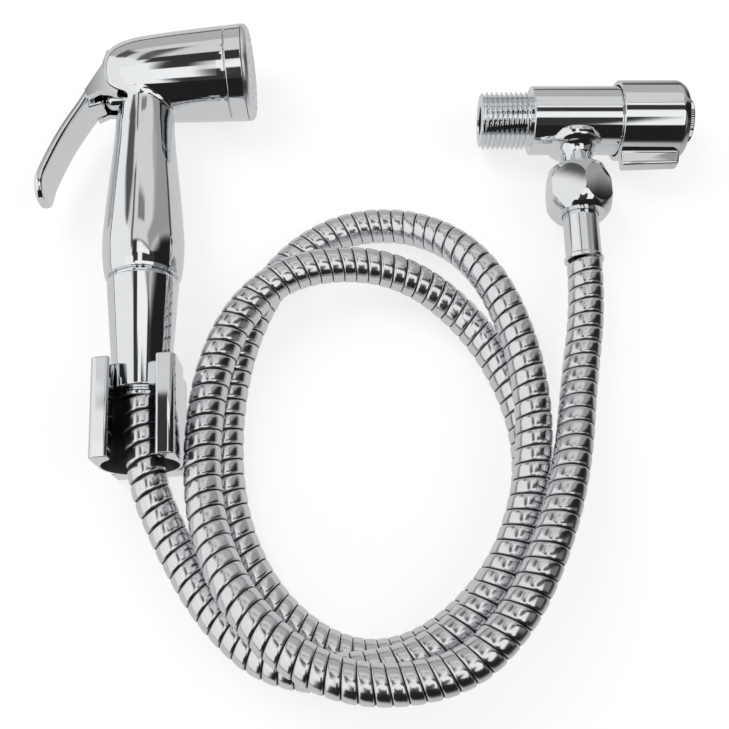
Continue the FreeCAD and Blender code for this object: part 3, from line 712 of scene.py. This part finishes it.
def prism(name, loop, low, high, edge, material, placement, steps=4):
    # a section in X and Z run down -Y from low to high, its two ends rounded over
    count = len(loop)
    normals = []
    for number in range(count):
        along = loop[(number + 1) % count] - loop[number - 1]
        normals.append(Vector((along.y, -along.x)).normalized())
    area = sum(here.x * there.y - there.x * here.y for here, there in zip(loop, loop[1:] + loop[:1]))
    side = -1 if area > 0 else 1
    angles = [math.radians(90 * step / steps) for step in range(steps, -1, -1)]
    rows = [(low + edge * (1 - math.sin(angle)), edge * (1 - math.cos(angle))) for angle in angles]
    rows += [(low + high - depth, inset) for depth, inset in rows[::-1]]
    points = [Vector((spot.x + normal.x * side * inset, -depth, spot.y + normal.y * side * inset)) * mm
              for depth, inset in rows for spot, normal in zip(loop, normals)]
    return makePiece(name, points, ringFaces(len(rows), count, caps=True), material, placement)


def makeHolder():
    size = holderShape
    top = size["top"]
    holder = prism("holder", holderLoop(), top, top + size["length"], size["endRound"], chromePlate,
                   handsetFrame)
    hollow = solidOutline([(top + under, radius) for under, radius in size["hollow"]])
    carve(holder, lathe("hollow", hollow, castInside, handsetFrame @ pointDown, 96))
    hole, head = size["screwRadius"], size["screwHead"]
    sinkStart, sinkEnd = size["screwSink"]
    screw = solidOutline([(size["blockBack"] - clear, hole), (sinkStart, hole), (sinkEnd, head),
                          (size["screwTop"], head)])
    for spot in size["screws"]:
        across = Matrix.Translation((0, -spot * mm, 0)) @ Matrix.Rotation(math.radians(-90), 4, "Y")
        carve(holder, lathe("screwHole", screw, chromePlate, handsetFrame @ across, 32))
    finishPiece(holder, "slotted_holder", "wall_holder", "holder", sharpAngle=32)


# Stop valve: threaded body with its outlet, knob, index button, hose nut and ferrule

threadShape = {
    "start": -35.0, "end": -16.8, "crest": 10.48, "depth": 1.1, "pitch": 1.814, "rowsPerTurn": 10,
    "ridge": 1.25, "fall": 2.1,         # a ridge's height before it is cut flat, and how fast it falls
    "runIn": 1.4, "runOut": 0.8,        # how far from its ends the thread fades
    "least": 0.35,                      # and how much of it stays there
    "noseDepth": 1.6,                   # height of the inlet's flat end under the crest
}
bodyShape = {
    "start": -16.2, "end": 17.4, "radius": 12.6, "edge": 0.6, "bore": 5.5, "mouth": 0.5,
    "roomStart": 3.0, "room": 8.65,
}
outletShape = {
    "inside": 9.0, "bore": 4.5, "thread": 9.8, "end": 33.0,
    "neck": [(10.2, 10.6), (11.6, 10.2), (12.6, 9.2), (13.8, 7.6), (15.4, 6.5), (17.2, 6.1), (24.0, 6.1)],
}


def threadRadius(along, turnShare):
    # radius of the inlet's thread at a place along it and a share of a turn
    size = threadShape
    phase = ((along - size["start"]) / size["pitch"] + turnShare) % 1
    ridge = min(1, max(0, size["ridge"] - abs(2 * phase - 1) * size["fall"]))
    fade = min(1, (along - size["start"]) / size["runIn"], (size["end"] - along) / size["runOut"])
    return size["crest"] - size["depth"] * (1 - ridge * (size["least"] + (1 - size["least"]) * fade))


def makeValveBody(sides=128):
    thread, tube, outlet = threadShape, bodyShape, outletShape
    start, end = thread["start"], thread["end"]
    root = thread["crest"] - thread["depth"]
    rows = [(tube["roomStart"], tube["room"]), (tube["roomStart"], tube["bore"]),
            (start + tube["mouth"], tube["bore"]), (start, tube["bore"] + tube["mouth"]),
            (start, thread["crest"] - thread["noseDepth"])]
    steps = round((end - start) / thread["pitch"] * thread["rowsPerTurn"])
    rows += [(start + (end - start) * (step + 0.5) / steps, None) for step in range(steps)]
    barrel = [(tube["start"], root, 0), (tube["start"], tube["radius"], tube["edge"]),
              (tube["end"], tube["radius"], tube["edge"]), (tube["end"], tube["room"], 0)]
    rows += [(end, root), *roundedOutline(barrel)]
    points = []
    for along, radius in rows:
        for number, turn in enumerate(circleTurns(sides)):
            reach = radius or threadRadius(along, number / sides)
            points.append(Vector((along, reach * math.cos(turn), reach * math.sin(turn))) * mm)
    body = makePiece("valve", points, ringFaces(len(rows), sides, loop=True), chromePlate, valveFrame)
    neck = outlet["neck"]
    line = [(outlet["inside"], outlet["bore"]), (outlet["inside"], neck[0][1]), *smoothCurve(neck, 6),
            (neck[-1][0], outlet["thread"]), (outlet["end"], outlet["thread"]),
            (outlet["end"], outlet["bore"])]
    carve(body, lathe("neck", line, chromePlate, valveFrame @ pointDown, 96, True), "UNION")
    finishPiece(body, "valve_shell", "valve_body", sharpAngle=40)


knobShape = {
    "start": 16.2, "end": 41.4, "radius": 14.7, "inner": 13.1, "lip": 19.4, "wall": 12.7, "wallStart": 21.4,
    "back": 32.4, "post": 6.4, "postStart": 24.4, "hub": 3.66, "hubEnd": 33.5, "screwHole": 2.0,
    "dish": 36.4, "dishRound": 0.3, "index": 8.3, "startRound": 0.7,
    "nose": [(-3.2, 0.0, 2.6), (-0.8, -1.6, 1.6), (0.0, -4.4, 1.2)],     # from the end, the radius; round
    "tab": ((16.4, -20.3, -2.5), (38.7, -12.7, 2.5)), "tabEdge": 0.9,
    "tabCut": (-1.4, 0.8),              # how far the tab's outer corner is moved back
}


def makeKnob():
    size = knobShape
    corners = [(size["start"], size["radius"], size["startRound"])]
    corners += [(size["end"] + along, size["radius"] + out, bend) for along, out, bend in size["nose"]]
    corners += [(size["end"], size["index"], size["dishRound"]), (size["dish"], size["index"], 0),
                (size["dish"], size["screwHole"], 0), (size["hubEnd"], size["screwHole"], 0),
                (size["hubEnd"], size["hub"], 0), (size["postStart"], size["hub"], 0),
                (size["postStart"], size["post"], 0), (size["back"], size["post"], 0),
                (size["back"], size["wall"], 0), (size["wallStart"], size["wall"], 0),
                (size["lip"], size["inner"], 0), (size["start"], size["inner"], fineRound)]
    knob = latheLoop("knob", corners, valveFrame)
    low, high = size["tab"]
    tab = makePiece("tab", *boxData(low, high), chromePlate)
    middleX, middleY = ((low[axis] + high[axis]) / 2 * mm for axis in (0, 1))
    for vertex in tab.data.vertices:
        if vertex.co.x > middleX and vertex.co.y < middleY:
            vertex.co += Vector((*size["tabCut"], 0)) * mm
    bevelEdges(tab, size["tabEdge"], 4)
    tab.data.transform(valveFrame)
    carve(knob, tab, "UNION")
    finishPiece(knob, "turning_knob", "stop_knob", "knob", sharpAngle=32)


indexShape = {
    "start": 38.8, "end": 43.7, "radius": 8.2, "edge": 0.5,
    "teeth": 60, "toothDepth": 0.35, "toothBand": 0.6,         # the band at the radius takes the teeth
    "rim": 6.2, "dish": 5.8, "dishDepth": 0.4, "dishRound": 0.4,
}


def makeIndex():
    size = indexShape
    start, end, radius = size["start"], size["end"], size["radius"]
    floor = end - size["dishDepth"]
    corners = [(start, 0, 0), (start, radius, fineRound), (end, radius, size["edge"]),
               (end, size["rim"], size["dishRound"]), (floor, size["dish"], size["dishRound"]), (floor, 0, 0)]
    button = lathe("button", roundedOutline(corners), chromePlate, None, 4 * size["teeth"])
    for vertex in button.data.vertices:
        reach = math.hypot(vertex.co.y, vertex.co.z)
        if reach > (radius - size["toothBand"]) * mm:
            turn = math.atan2(vertex.co.z, vertex.co.y)
            groove = size["toothDepth"] * mm * (0.5 + 0.5 * math.cos(turn * size["teeth"]))
            vertex.co.y *= 1 - groove / reach
            vertex.co.z *= 1 - groove / reach
    button.data.transform(valveFrame)
    finishPiece(button, "index_button", "knob_index", "knob", sharpAngle=50)


nutShape = {
    "flats": 21.6,
    "barrel": [(22.4, 10.45), (24.0, 10.85), (26.0, 11.7), (28.5, 12.45), (31.4, 12.8), (34.3, 12.45),
               (36.8, 11.7), (38.8, 10.6), (40.4, 9.2)],
    "topFlat": 10.1, "bottomFlat": 8.8, "thread": 9.85, "threadEnd": 36.4, "throat": 6.55, "edge": 0.35,
}


def makeHoseNut():
    size = nutShape
    top, bottom = size["barrel"][0][0], size["barrel"][-1][0]
    barrel = [(top, size["topFlat"]), *smoothCurve(size["barrel"], 6), (bottom, size["bottomFlat"])]
    nut = lathe("nut", solidOutline(barrel), chromePlate, None, 144)
    reach = size["flats"] / math.sqrt(3)
    corners = [(reach * math.cos(turn), reach * math.sin(turn)) for turn in circleTurns(6)]
    points = [Vector((along, across, height)) * mm for along in (top - 2 * clear, bottom + 2 * clear)
              for height, across in corners]
    carve(nut, makePiece("hexagon", points, ringFaces(2, 6, caps=True), chromePlate), "INTERSECT")
    bore = solidOutline([(top - clear, size["thread"]), (size["threadEnd"], size["thread"]),
                         (size["threadEnd"], size["throat"]), (bottom + clear, size["throat"])])
    carve(nut, lathe("bore", bore, chromePlate, None, 96))
    bevelEdges(nut, size["edge"], 3, 14)
    nut.data.transform(valveFrame @ pointDown)
    finishPiece(nut, "hexagon_nut", "hose_nut", sharpAngle=34)


ferruleShape = {
    "inside": 34.8, "flange": 9.4, "flangeEnd": 36.35, "flangeRound": 0.2, "tube": 6.35, "tubeRound": 0.3,
    "lipStart": 56.7, "lipFull": 57.2, "lip": 6.9, "lipRound": 0.4, "end": 58.6, "bore": 4.4,
}


def makeFerrule():
    ferrule = flangedTube("ferrule", ferruleShape, valveFrame @ pointDown, 96)
    finishPiece(ferrule, "crimped_ferrule", "valve_ferrule")


# Hose: one route from the valve's ferrule to the cone nut, the same points as the solid's

# heights of the hose's middle: on the table, on one strand and on two
levelOne = 6.1
levelTwo = 18.7
levelThree = 31.8
hoseSpec = {
    "radius": 6.2,
    "ribPitch": 5.0,          # length of one turn of the strip as it is drawn below
    "pitchAcross": 4.5,       # and as the photo shows it where the hose runs left and right
    "pitchAlong": 5.4,        # and where it runs to and from the camera
    "sides": 40,
    "ribSlope": -0.2,         # how far a rib leans along the hose for each mm across it
    "pointsPerQuarter": 3,
    # one turn of the strip from groove to groove: mm along the hose, mm under the crest
    "rib": [(0.0, 0.66), (0.2, 0.52), (0.4, 0.2), (0.75, 0.04), (1.5, 0.0), (2.6, 0.0), (3.5, 0.03),
            (4.15, 0.1), (4.6, 0.22), (4.85, 0.5)],
    # the groove's colour is painted shade: it starts at the first depth and is full at the second
    "dark": (0.03, 0.09),     # depths, as shares of the radius, where the groove's colour starts and is full
}
valveRun = [(78.2, 33.4, 14.8), (78.2, 17.0, 14.8), (72.6, -12.0, 16.4), (66.4, -43.0, 25.4),
            (57.8, -68.0, 30.0), (45.6, -91.5, 31.8), (26.5, -108.3, levelThree)]
# furthest reaches of the turns: near, left, far, right, and round again
turnStations = [(8.0, -110.3, levelThree), (-52.7, -36.5, levelTwo), (-2.3, 30.8, levelTwo),
                (56.3, -40.0, levelOne), (4.9, -101.4, levelOne), (-47.4, -31.4, levelOne),
                (7.2, 51.4, levelOne), (56.0, -26.3, levelTwo), (2.3, -104.8, levelTwo)]
# for the quarter after each: how full it is beside an ellipse, and the angles between which it climbs
turnFullness = [1.0, 1.25, 1.0, 0.85, 1.0, 1.12, 1.0, 0.97]
climbAngles = [(30, 90), (0, 90), (0, 50), (0, 90), (0, 90), (0, 90), (0, 50), (0, 90)]
handsetRun = [(-25.0, -106.6, 18.4), (-45.7, -90.7, 16.0), (-61.2, -67.7, 14.5), (-72.9, -42.1, 18.5),
              (-74.42, -18.94, 18.5)]


def turnPoints():
    # quarter ellipses between the furthest reaches, their points standing outside by the step
    step = 90 / hoseSpec["pointsPerQuarter"]
    outside = 1 / math.cos(math.radians(step / 2))
    points = []
    quarters = zip(turnStations, turnStations[1:], turnFullness, climbAngles)
    for number, (here, there, fullness, (climbFrom, climbTo)) in enumerate(quarters):
        sideways = number % 2 == 0
        centre = (here[0], there[1]) if sideways else (there[0], here[1])
        for count in range(hoseSpec["pointsPerQuarter"]):
            angle = math.radians((count + 0.5) * step)
            go = math.sin(angle) ** (1 / fullness) * outside
            stay = math.cos(angle) ** (1 / fullness) * outside
            alongX, alongY = (go, stay) if sideways else (stay, go)
            cornerX, cornerY = (there[0], here[1]) if sideways else (here[0], there[1])
            share = min(1, max(0, (math.degrees(angle) - climbFrom) / (climbTo - climbFrom)))
            climb = (1 - math.cos(math.pi * share)) / 2
            points.append((centre[0] + (cornerX - centre[0]) * alongX,
                           centre[1] + (cornerY - centre[1]) * alongY,
                           here[2] + (there[2] - here[2]) * climb))
    return points


def newCurve(name, kind, places):
    # places in metres
    data = bpy.data.curves.new(name, "CURVE")
    data.dimensions = "3D"
    spline = data.splines.new(kind)
    spline.points.add(len(places) - 1)
    for point, place in zip(spline.points, places):
        point.co = (*place, 1.0)
    curve = bpy.data.objects.new(name, data)
    scene.collection.objects.link(curve)
    return curve


def routeCurve():
    places = [(Vector(place) + shift) * mm for place in valveRun + turnPoints() + handsetRun]
    route = newCurve("hoseRoute", "NURBS", places)
    route.data.resolution_u = 16
    route.data.splines[0].use_endpoint_u = True
    route.data.splines[0].order_u = 3
    return route


def ribTree():
    # sweeps a ring at each point of a route, set at the places and depths of one rib, over and over
    tree, given = newTree("hoseRibs", [("Radius", "Float"), ("Rib Pitch", "Float"), ("Rings Per Rib", "Int"),
                                       ("Sides", "Int"), ("Rib Slope", "Float"), ("Material", "Material")])
    index = addNode(tree, "GeometryNodeInputIndex")
    place = addNode(tree, "ShaderNodeMath", {"operation": "MODULO"},
                    {0: index.outputs[0], 1: given["Rings Per Rib"]})
    along = addNode(tree, "ShaderNodeMath", {"operation": "DIVIDE"},
                    {0: place.outputs[0], 1: given["Rings Per Rib"]})
    depth = addNode(tree, "ShaderNodeFloatCurve", {}, {"Value": along.outputs[0]})
    ribCurve(depth, [under / hoseSpec["radius"] for reach, under in hoseSpec["rib"]], 0)
    spot = addNode(tree, "ShaderNodeFloatCurve", {}, {"Value": along.outputs[0]})
    ribCurve(spot, [reach / hoseSpec["ribPitch"] for reach, under in hoseSpec["rib"]], 1)
    ahead = addNode(tree, "ShaderNodeMath", {"operation": "SUBTRACT"},
                    {0: spot.outputs[0], 1: along.outputs[0]})
    moved = addNode(tree, "ShaderNodeMath", {"operation": "MULTIPLY"},
                    {0: ahead.outputs[0], 1: given["Rib Pitch"]})
    tangent = addNode(tree, "GeometryNodeInputTangent")
    middle = addNode(tree, "GeometryNodeInputPosition")
    kept = addNode(tree, "GeometryNodeCaptureAttribute", {"domain": "POINT"}, {"Geometry": given["Geometry"]})
    for name, kind, source in (("depth", "FLOAT", depth.outputs["Value"]),
                               ("ahead", "FLOAT", moved.outputs["Value"]),
                               ("tangent", "VECTOR", tangent.outputs["Tangent"]),
                               ("middle", "VECTOR", middle.outputs["Position"])):
        kept.capture_items.new(kind, name)
        tree.links.new(source, kept.inputs[name])
    circle = addNode(tree, "GeometryNodeCurvePrimitiveCircle", {},
                     {"Resolution": given["Sides"], "Radius": given["Radius"]})
    swept = addNode(tree, "GeometryNodeCurveToMesh", {"Fill Caps": True},
                    {"Curve": kept.outputs["Geometry"], "Profile Curve": circle.outputs["Curve"]})
    reach = addNode(tree, "ShaderNodeVectorMath", {"operation": "SUBTRACT"},
                    {0: middle.outputs["Position"], 1: kept.outputs["middle"]})
    shrunk = addNode(tree, "ShaderNodeVectorMath", {"operation": "SCALE"},
                     {0: reach.outputs["Vector"], "Scale": kept.outputs["depth"]})
    across = addNode(tree, "ShaderNodeVectorMath", {"operation": "CROSS_PRODUCT", 0: (0, 0, 1)},
                     {1: kept.outputs["tangent"]})
    level = addNode(tree, "ShaderNodeVectorMath", {"operation": "NORMALIZE"}, {0: across.outputs["Vector"]})
    sideways = addNode(tree, "ShaderNodeVectorMath", {"operation": "DOT_PRODUCT"},
                       {0: reach.outputs["Vector"], 1: level.outputs["Vector"]})
    lean = addNode(tree, "ShaderNodeMath", {"operation": "MULTIPLY_ADD"},
                   {0: sideways.outputs["Value"], 1: given["Rib Slope"], 2: kept.outputs["ahead"]})
    slid = addNode(tree, "ShaderNodeVectorMath", {"operation": "SCALE"},
                   {0: kept.outputs["tangent"], "Scale": lean.outputs[0]})
    offset = addNode(tree, "ShaderNodeVectorMath", {"operation": "SUBTRACT"},
                     {0: slid.outputs["Vector"], 1: shrunk.outputs["Vector"]})
    shaped = addNode(tree, "GeometryNodeSetPosition", {},
                     {"Geometry": swept.outputs["Mesh"], "Offset": offset.outputs["Vector"]})
    # the groove attribute carries painted shade into the hose's colour
    shadeFrom, shadeFull = hoseSpec["dark"]
    groove = addNode(tree, "ShaderNodeMapRange", {"From Min": shadeFrom, "From Max": shadeFull},
                     {"Value": kept.outputs["depth"]})
    stored = addNode(tree, "GeometryNodeStoreNamedAttribute",
                     {"data_type": "FLOAT", "domain": "POINT", "Name": "groove"},
                     {"Geometry": shaped.outputs["Geometry"], "Value": groove.outputs["Result"]})
    endTree(tree, stored.outputs["Geometry"], given["Material"])
    return tree


def ribCurve(node, values, last):
    # one value for each ring of a rib, with straight lines between them
    curve = node.mapping.curves[0]
    places = [number / len(values) for number in range(len(values) + 1)]
    for spot in zip(places[1:-1], values[1:]):
        curve.points.new(*spot)
    for point, spot in zip(curve.points, zip(places, [*values, values[0] + last])):
        point.location = spot
        point.handle_type = "VECTOR"
    node.mapping.update()


def ringCurve(centres):
    # the route with one point for each ring, so that the ribs stand at the pitch of their stretch
    turns = [0.0]
    for first, second in zip(centres, centres[1:]):
        step = Vector(second) - Vector(first)
        across = (step.x / step.length) ** 2
        pitch = hoseSpec["pitchAlong"] + (hoseSpec["pitchAcross"] - hoseSpec["pitchAlong"]) * across
        turns.append(turns[-1] + step.length / (pitch * mm))
    count = round(turns[-1]) * len(hoseSpec["rib"]) + 1
    spots = np.linspace(0, turns[-1], count)
    lanes = [np.interp(spots, turns, lane) for lane in zip(*centres)]
    return newCurve("hoseRings", "POLY", list(zip(*lanes)))


def makeHose():
    route = routeCurve()
    bare = bpy.data.meshes.new_from_object(route)
    bpy.data.objects.remove(route)
    centres = [tuple(vertex.co) for vertex in bare.vertices]
    rings = ringCurve(centres)
    modifier = rings.modifiers.new("ribs", "NODES")
    modifier.node_group = ribTree()
    setInputs(modifier, {"Radius": hoseSpec["radius"] * mm, "Rib Pitch": hoseSpec["ribPitch"] * mm,
                         "Rings Per Rib": len(hoseSpec["rib"]), "Sides": hoseSpec["sides"],
                         "Rib Slope": hoseSpec["ribSlope"], "Material": stripSteel})
    hose = plainResult(rings, "hose")
    for face in hose.data.polygons:
        face.use_smooth = True
    hose.data.set_sharp_from_angle(angle=math.radians(50))
    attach(hose, "root")
    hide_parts("hose_valve_run", "hose_turns", "hose_handset_run")


# Camera, lights and table

def makeCamera():
    view = {"height": 320.5, "back": 113.5, "focal": 947.6, "picture": 729, "sensor": 36.0}
    data = bpy.data.cameras.new("camera")
    data.sensor_width = view["sensor"]
    data.lens = view["focal"] / view["picture"] * view["sensor"]
    data.clip_start = 0.01
    data.clip_end = 10
    camera = bpy.data.objects.new("camera", data)
    scene.collection.objects.link(camera)
    aim = shift * mm
    camera.location = aim + Vector((0, -view["back"], view["height"])) * mm
    camera.rotation_euler = (aim - camera.location).to_track_quat("-Z", "Y").to_euler()
    scene.camera = camera


def makeWorld():
    # a studio round the table: dark towards the camera, with lit walls and lit panels overhead
    world = bpy.data.worlds.new("studio")
    scene.world = world
    world.use_nodes = True
    tree = world.node_tree
    tree.nodes.clear()
    output = addNode(tree, "ShaderNodeOutputWorld")
    place = addNode(tree, "ShaderNodeTexCoord")
    parts = addNode(tree, "ShaderNodeSeparateXYZ", {}, {"Vector": place.outputs["Generated"]})
    x, y, z = (parts.outputs[name] for name in "XYZ")

    def reckon(operation, first, second=None, fixed=None):
        node = addNode(tree, "ShaderNodeMath", {"operation": operation}, {0: first})
        if second is not None:
            tree.links.new(second, node.inputs[1])
        if fixed is not None:
            node.inputs[1].default_value = fixed
        return node.outputs[0]

    lifted = reckon("MAXIMUM", z, fixed=0.02)
    scales = {
        "turn": reckon("DEGREES", reckon("ARCTAN2", x, y)),      # 0 beyond the set, 90 at its right
        "height": reckon("DEGREES", reckon("ARCSINE", z)),
        "x": reckon("DIVIDE", x, lifted),                        # on a ceiling one unit above the table
        "y": reckon("DIVIDE", y, lifted),
    }

    def window(source, low, high, soft):
        # 1 between low and high, falling to 0 over soft
        rise = addNode(tree, "ShaderNodeMapRange",
                       {"interpolation_type": "SMOOTHSTEP", "From Min": low - soft, "From Max": low + soft},
                       {"Value": source})
        fall = addNode(tree, "ShaderNodeMapRange",
                       {"interpolation_type": "SMOOTHSTEP", "From Min": high - soft, "From Max": high + soft,
                        "To Min": 1.0, "To Max": 0.0}, {"Value": source})
        return reckon("MULTIPLY", rise.outputs["Result"], fall.outputs["Result"])

    dark = addNode(tree, "ShaderNodeValue")
    dark.outputs[0].default_value = studio["dark"]
    glow = dark.outputs[0]
    for panel in studio["panels"]:
        (first, firstRange), (second, secondRange) = [item for item in panel.items() if item[0] in scales]
        shape = reckon("MULTIPLY", window(scales[first], *firstRange, panel["soft"]),
                       window(scales[second], *secondRange, panel["soft"]))
        laid = addNode(tree, "ShaderNodeMix", {"data_type": "FLOAT", 3: panel["level"]}, {0: shape, 2: glow})
        glow = laid.outputs[0]
    path = addNode(tree, "ShaderNodeLightPath")
    seen = addNode(tree, "ShaderNodeMix", {"data_type": "FLOAT", 3: 1.0},
                   {0: path.outputs["Is Camera Ray"], 2: glow})
    soft = addNode(tree, "ShaderNodeMix", {"data_type": "FLOAT", 3: studio["diffuse"]},
                   {0: path.outputs["Is Diffuse Ray"], 2: seen.outputs[0]})
    light = addNode(tree, "ShaderNodeBackground", {"Color": (1, 1, 1, 1)}, {"Strength": soft.outputs[0]})
    tree.links.new(light.outputs["Background"], output.inputs["Surface"])


studio = {
    "dark": 0.017,            # the room towards the camera
    "diffuse": 0.75,          # the even light that falls on dull surfaces
    # panels, each laid over the ones before it: walls by turn and height in degrees, ceiling by x and y
    "panels": [
        {"turn": (-64, 60), "height": (-20, 32), "soft": 5, "level": 0.5},       # wall beyond the set
        {"turn": (-64, 62), "height": (32, 90), "soft": 5, "level": 0.74},       # its upper half
        {"turn": (38, 58), "height": (-20, 60), "soft": 4, "level": 0.36},       # its right end
        {"turn": (92, 120), "height": (4, 60), "soft": 4, "level": 0.2},         # grey card at the right
        {"turn": (-150, -47), "height": (-8, 90), "soft": 2, "level": 0.93},     # soft box at the left
        {"x": (-0.36, 0.9), "y": (-1.1, 0.36), "soft": 0.02, "level": 0.04},     # dark between the boxes
        {"x": (-0.9, -0.3), "y": (-1.1, 0.12), "soft": 0.03, "level": 1.0},      # left box overhead
        {"x": (-0.33, -0.19), "y": (-0.78, -0.22), "soft": 0.02, "level": 1.04},  # its inner end
        {"x": (-0.19, 0.62), "y": (-0.4, -0.04), "soft": 0.03, "level": 1.04},   # box over the camera
        {"x": (-0.06, 0.14), "y": (-0.53, 0.34), "soft": 0.03, "level": 1.04},   # middle box overhead
        {"x": (0.34, 0.9), "y": (-1.0, -0.04), "soft": 0.03, "level": 1.04},     # right box overhead
        {"x": (-0.12, 0.52), "y": (0.22, 0.34), "soft": 0.02, "level": 1.04},    # strip light beyond them
        {"x": (-0.45, -0.34), "y": (0.3, 0.9), "soft": 0.03, "level": 0.12},     # lamp stand
        {"turn": (-49, -31), "height": (25, 44), "soft": 3, "level": 0.1},       # the stand's head
        {"x": (-0.15, 0.2), "y": (0.66, 0.8), "soft": 0.03, "level": 0.25},      # the stand's boom
    ],
}
tableShape = {
    "half": 3.0, "paper": "#f4f4f4",
    "drop": 0.2,              # mm that the paper lies under the set, so that nothing flickers
    "seen": 0.97,             # how bright the paper shows to the eye by itself
    "seenShare": 0.8,         # and how much of what the eye sees of it is that
    # in the chrome the paper glows as a painted pool of light, brightest round the middle given below and
    # fading far away
    "glow": 0.66,             # how bright the paper shows in the chrome where it is lit
    "farGlow": 0.05,          # and far away
    "paintedLightMiddle": (-260, 0, 0), "lit": (320, 520),      # mm, where it falls from one to the other
}


def makeTable():
    size = tableShape["half"]
    points = [(-size, -size, 0), (size, -size, 0), (size, size, 0), (-size, size, 0)]
    material, tree, output = newMaterial("paperTable")
    # white paper sheet: white to the eye with a faint shadow; in the chrome a little greyer, with a painted
    # pool of light that fades away from one spot
    paper = addNode(tree, "ShaderNodeBsdfDiffuse", {"Color": hexColour(tableShape["paper"])})
    place = addNode(tree, "ShaderNodeTexCoord")
    away = addNode(tree, "ShaderNodeVectorMath",
                   {"operation": "DISTANCE", 1: Vector(tableShape["paintedLightMiddle"]) * mm},
                   {0: place.outputs["Object"]})
    near, far = tableShape["lit"]
    spread = addNode(tree, "ShaderNodeMapRange",
                     {"interpolation_type": "SMOOTHSTEP", "From Min": near * mm, "From Max": far * mm,
                      "To Min": tableShape["glow"], "To Max": tableShape["farGlow"]},
                     {"Value": away.outputs["Value"]})
    path = addNode(tree, "ShaderNodeLightPath")
    level = addNode(tree, "ShaderNodeMix", {"data_type": "FLOAT", 3: tableShape["seen"]},
                    {0: path.outputs["Is Camera Ray"], 2: spread.outputs["Result"]})
    glow = addNode(tree, "ShaderNodeEmission", {"Color": (1, 1, 1, 1)}, {"Strength": level.outputs[0]})
    camera = addNode(tree, "ShaderNodeMath", {"operation": "MULTIPLY", 1: tableShape["seenShare"]},
                     {0: path.outputs["Is Camera Ray"]})
    share = addNode(tree, "ShaderNodeMath", {"operation": "MAXIMUM"},
                    {0: camera.outputs[0], 1: path.outputs["Is Glossy Ray"]})
    mixed = addNode(tree, "ShaderNodeMixShader", {},
                    {0: share.outputs[0], 1: paper.outputs[0], 2: glow.outputs[0]})
    tree.links.new(mixed.outputs[0], output.inputs["Surface"])
    mesh = bpy.data.meshes.new("table")
    mesh.from_pydata(points, [], [(0, 1, 2, 3)])
    mesh.materials.append(material)
    table = bpy.data.objects.new("table", mesh)
    scene.collection.objects.link(table)
    table.location.z = -tableShape["drop"] * mm


def makeLamps():
    # place and size in metres, power in watts
    for name, place, size, power in (("keyLamp", (-0.5, 0.3, 0.9), 0.6, 6.0),
                                     ("fillLamp", (0.6, -0.2, 0.8), 0.5, 3.0)):
        data = bpy.data.lights.new(name, "AREA")
        data.size = size
        data.energy = power
        data.use_shadow = True
        lamp = bpy.data.objects.new(name, data)
        scene.collection.objects.link(lamp)
        lamp.location = place
        lamp.rotation_euler = (-Vector(place)).to_track_quat("-Z", "Y").to_euler()
        lamp.visible_glossy = False


scene.view_settings.view_transform = "Standard"
makeCamera()
makeWorld()
makeTable()
makeLamps()
print("camera, studio and table made")
makeHose()
print("hose made")
makeHandset()
makeCollar()
makeFace()
makeLever()
makeConeNut()
makeEndFitting()
print("handset made")
makeHolder()
print("holder made")
makeValveBody()
makeKnob()
makeIndex()
makeHoseNut()
makeFerrule()
print("valve made")

cadFinish = {
    "spray_plate": satinPlate, "spray_gasket": sealRubber, "plunger_spring": drawnSteel,
    "plunger_seal": sealRubber, "valve_seat_seal": sealRubber, "trigger_pin": drawnSteel,
    "cone_washer": sealRubber, "valve_headwork": machinedBrass,
    "fixed_disc": alumina, "turning_disc": alumina, "valve_spindle": machinedBrass,
    "headwork_oring": sealRubber, "knob_screw": drawnSteel, "hose_nut_washer": sealRubber,
}
for name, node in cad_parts.items():
    node.data.materials.clear()
    node.data.materials.append(cadFinish.get(name, chromePlate))
print("solids dressed")
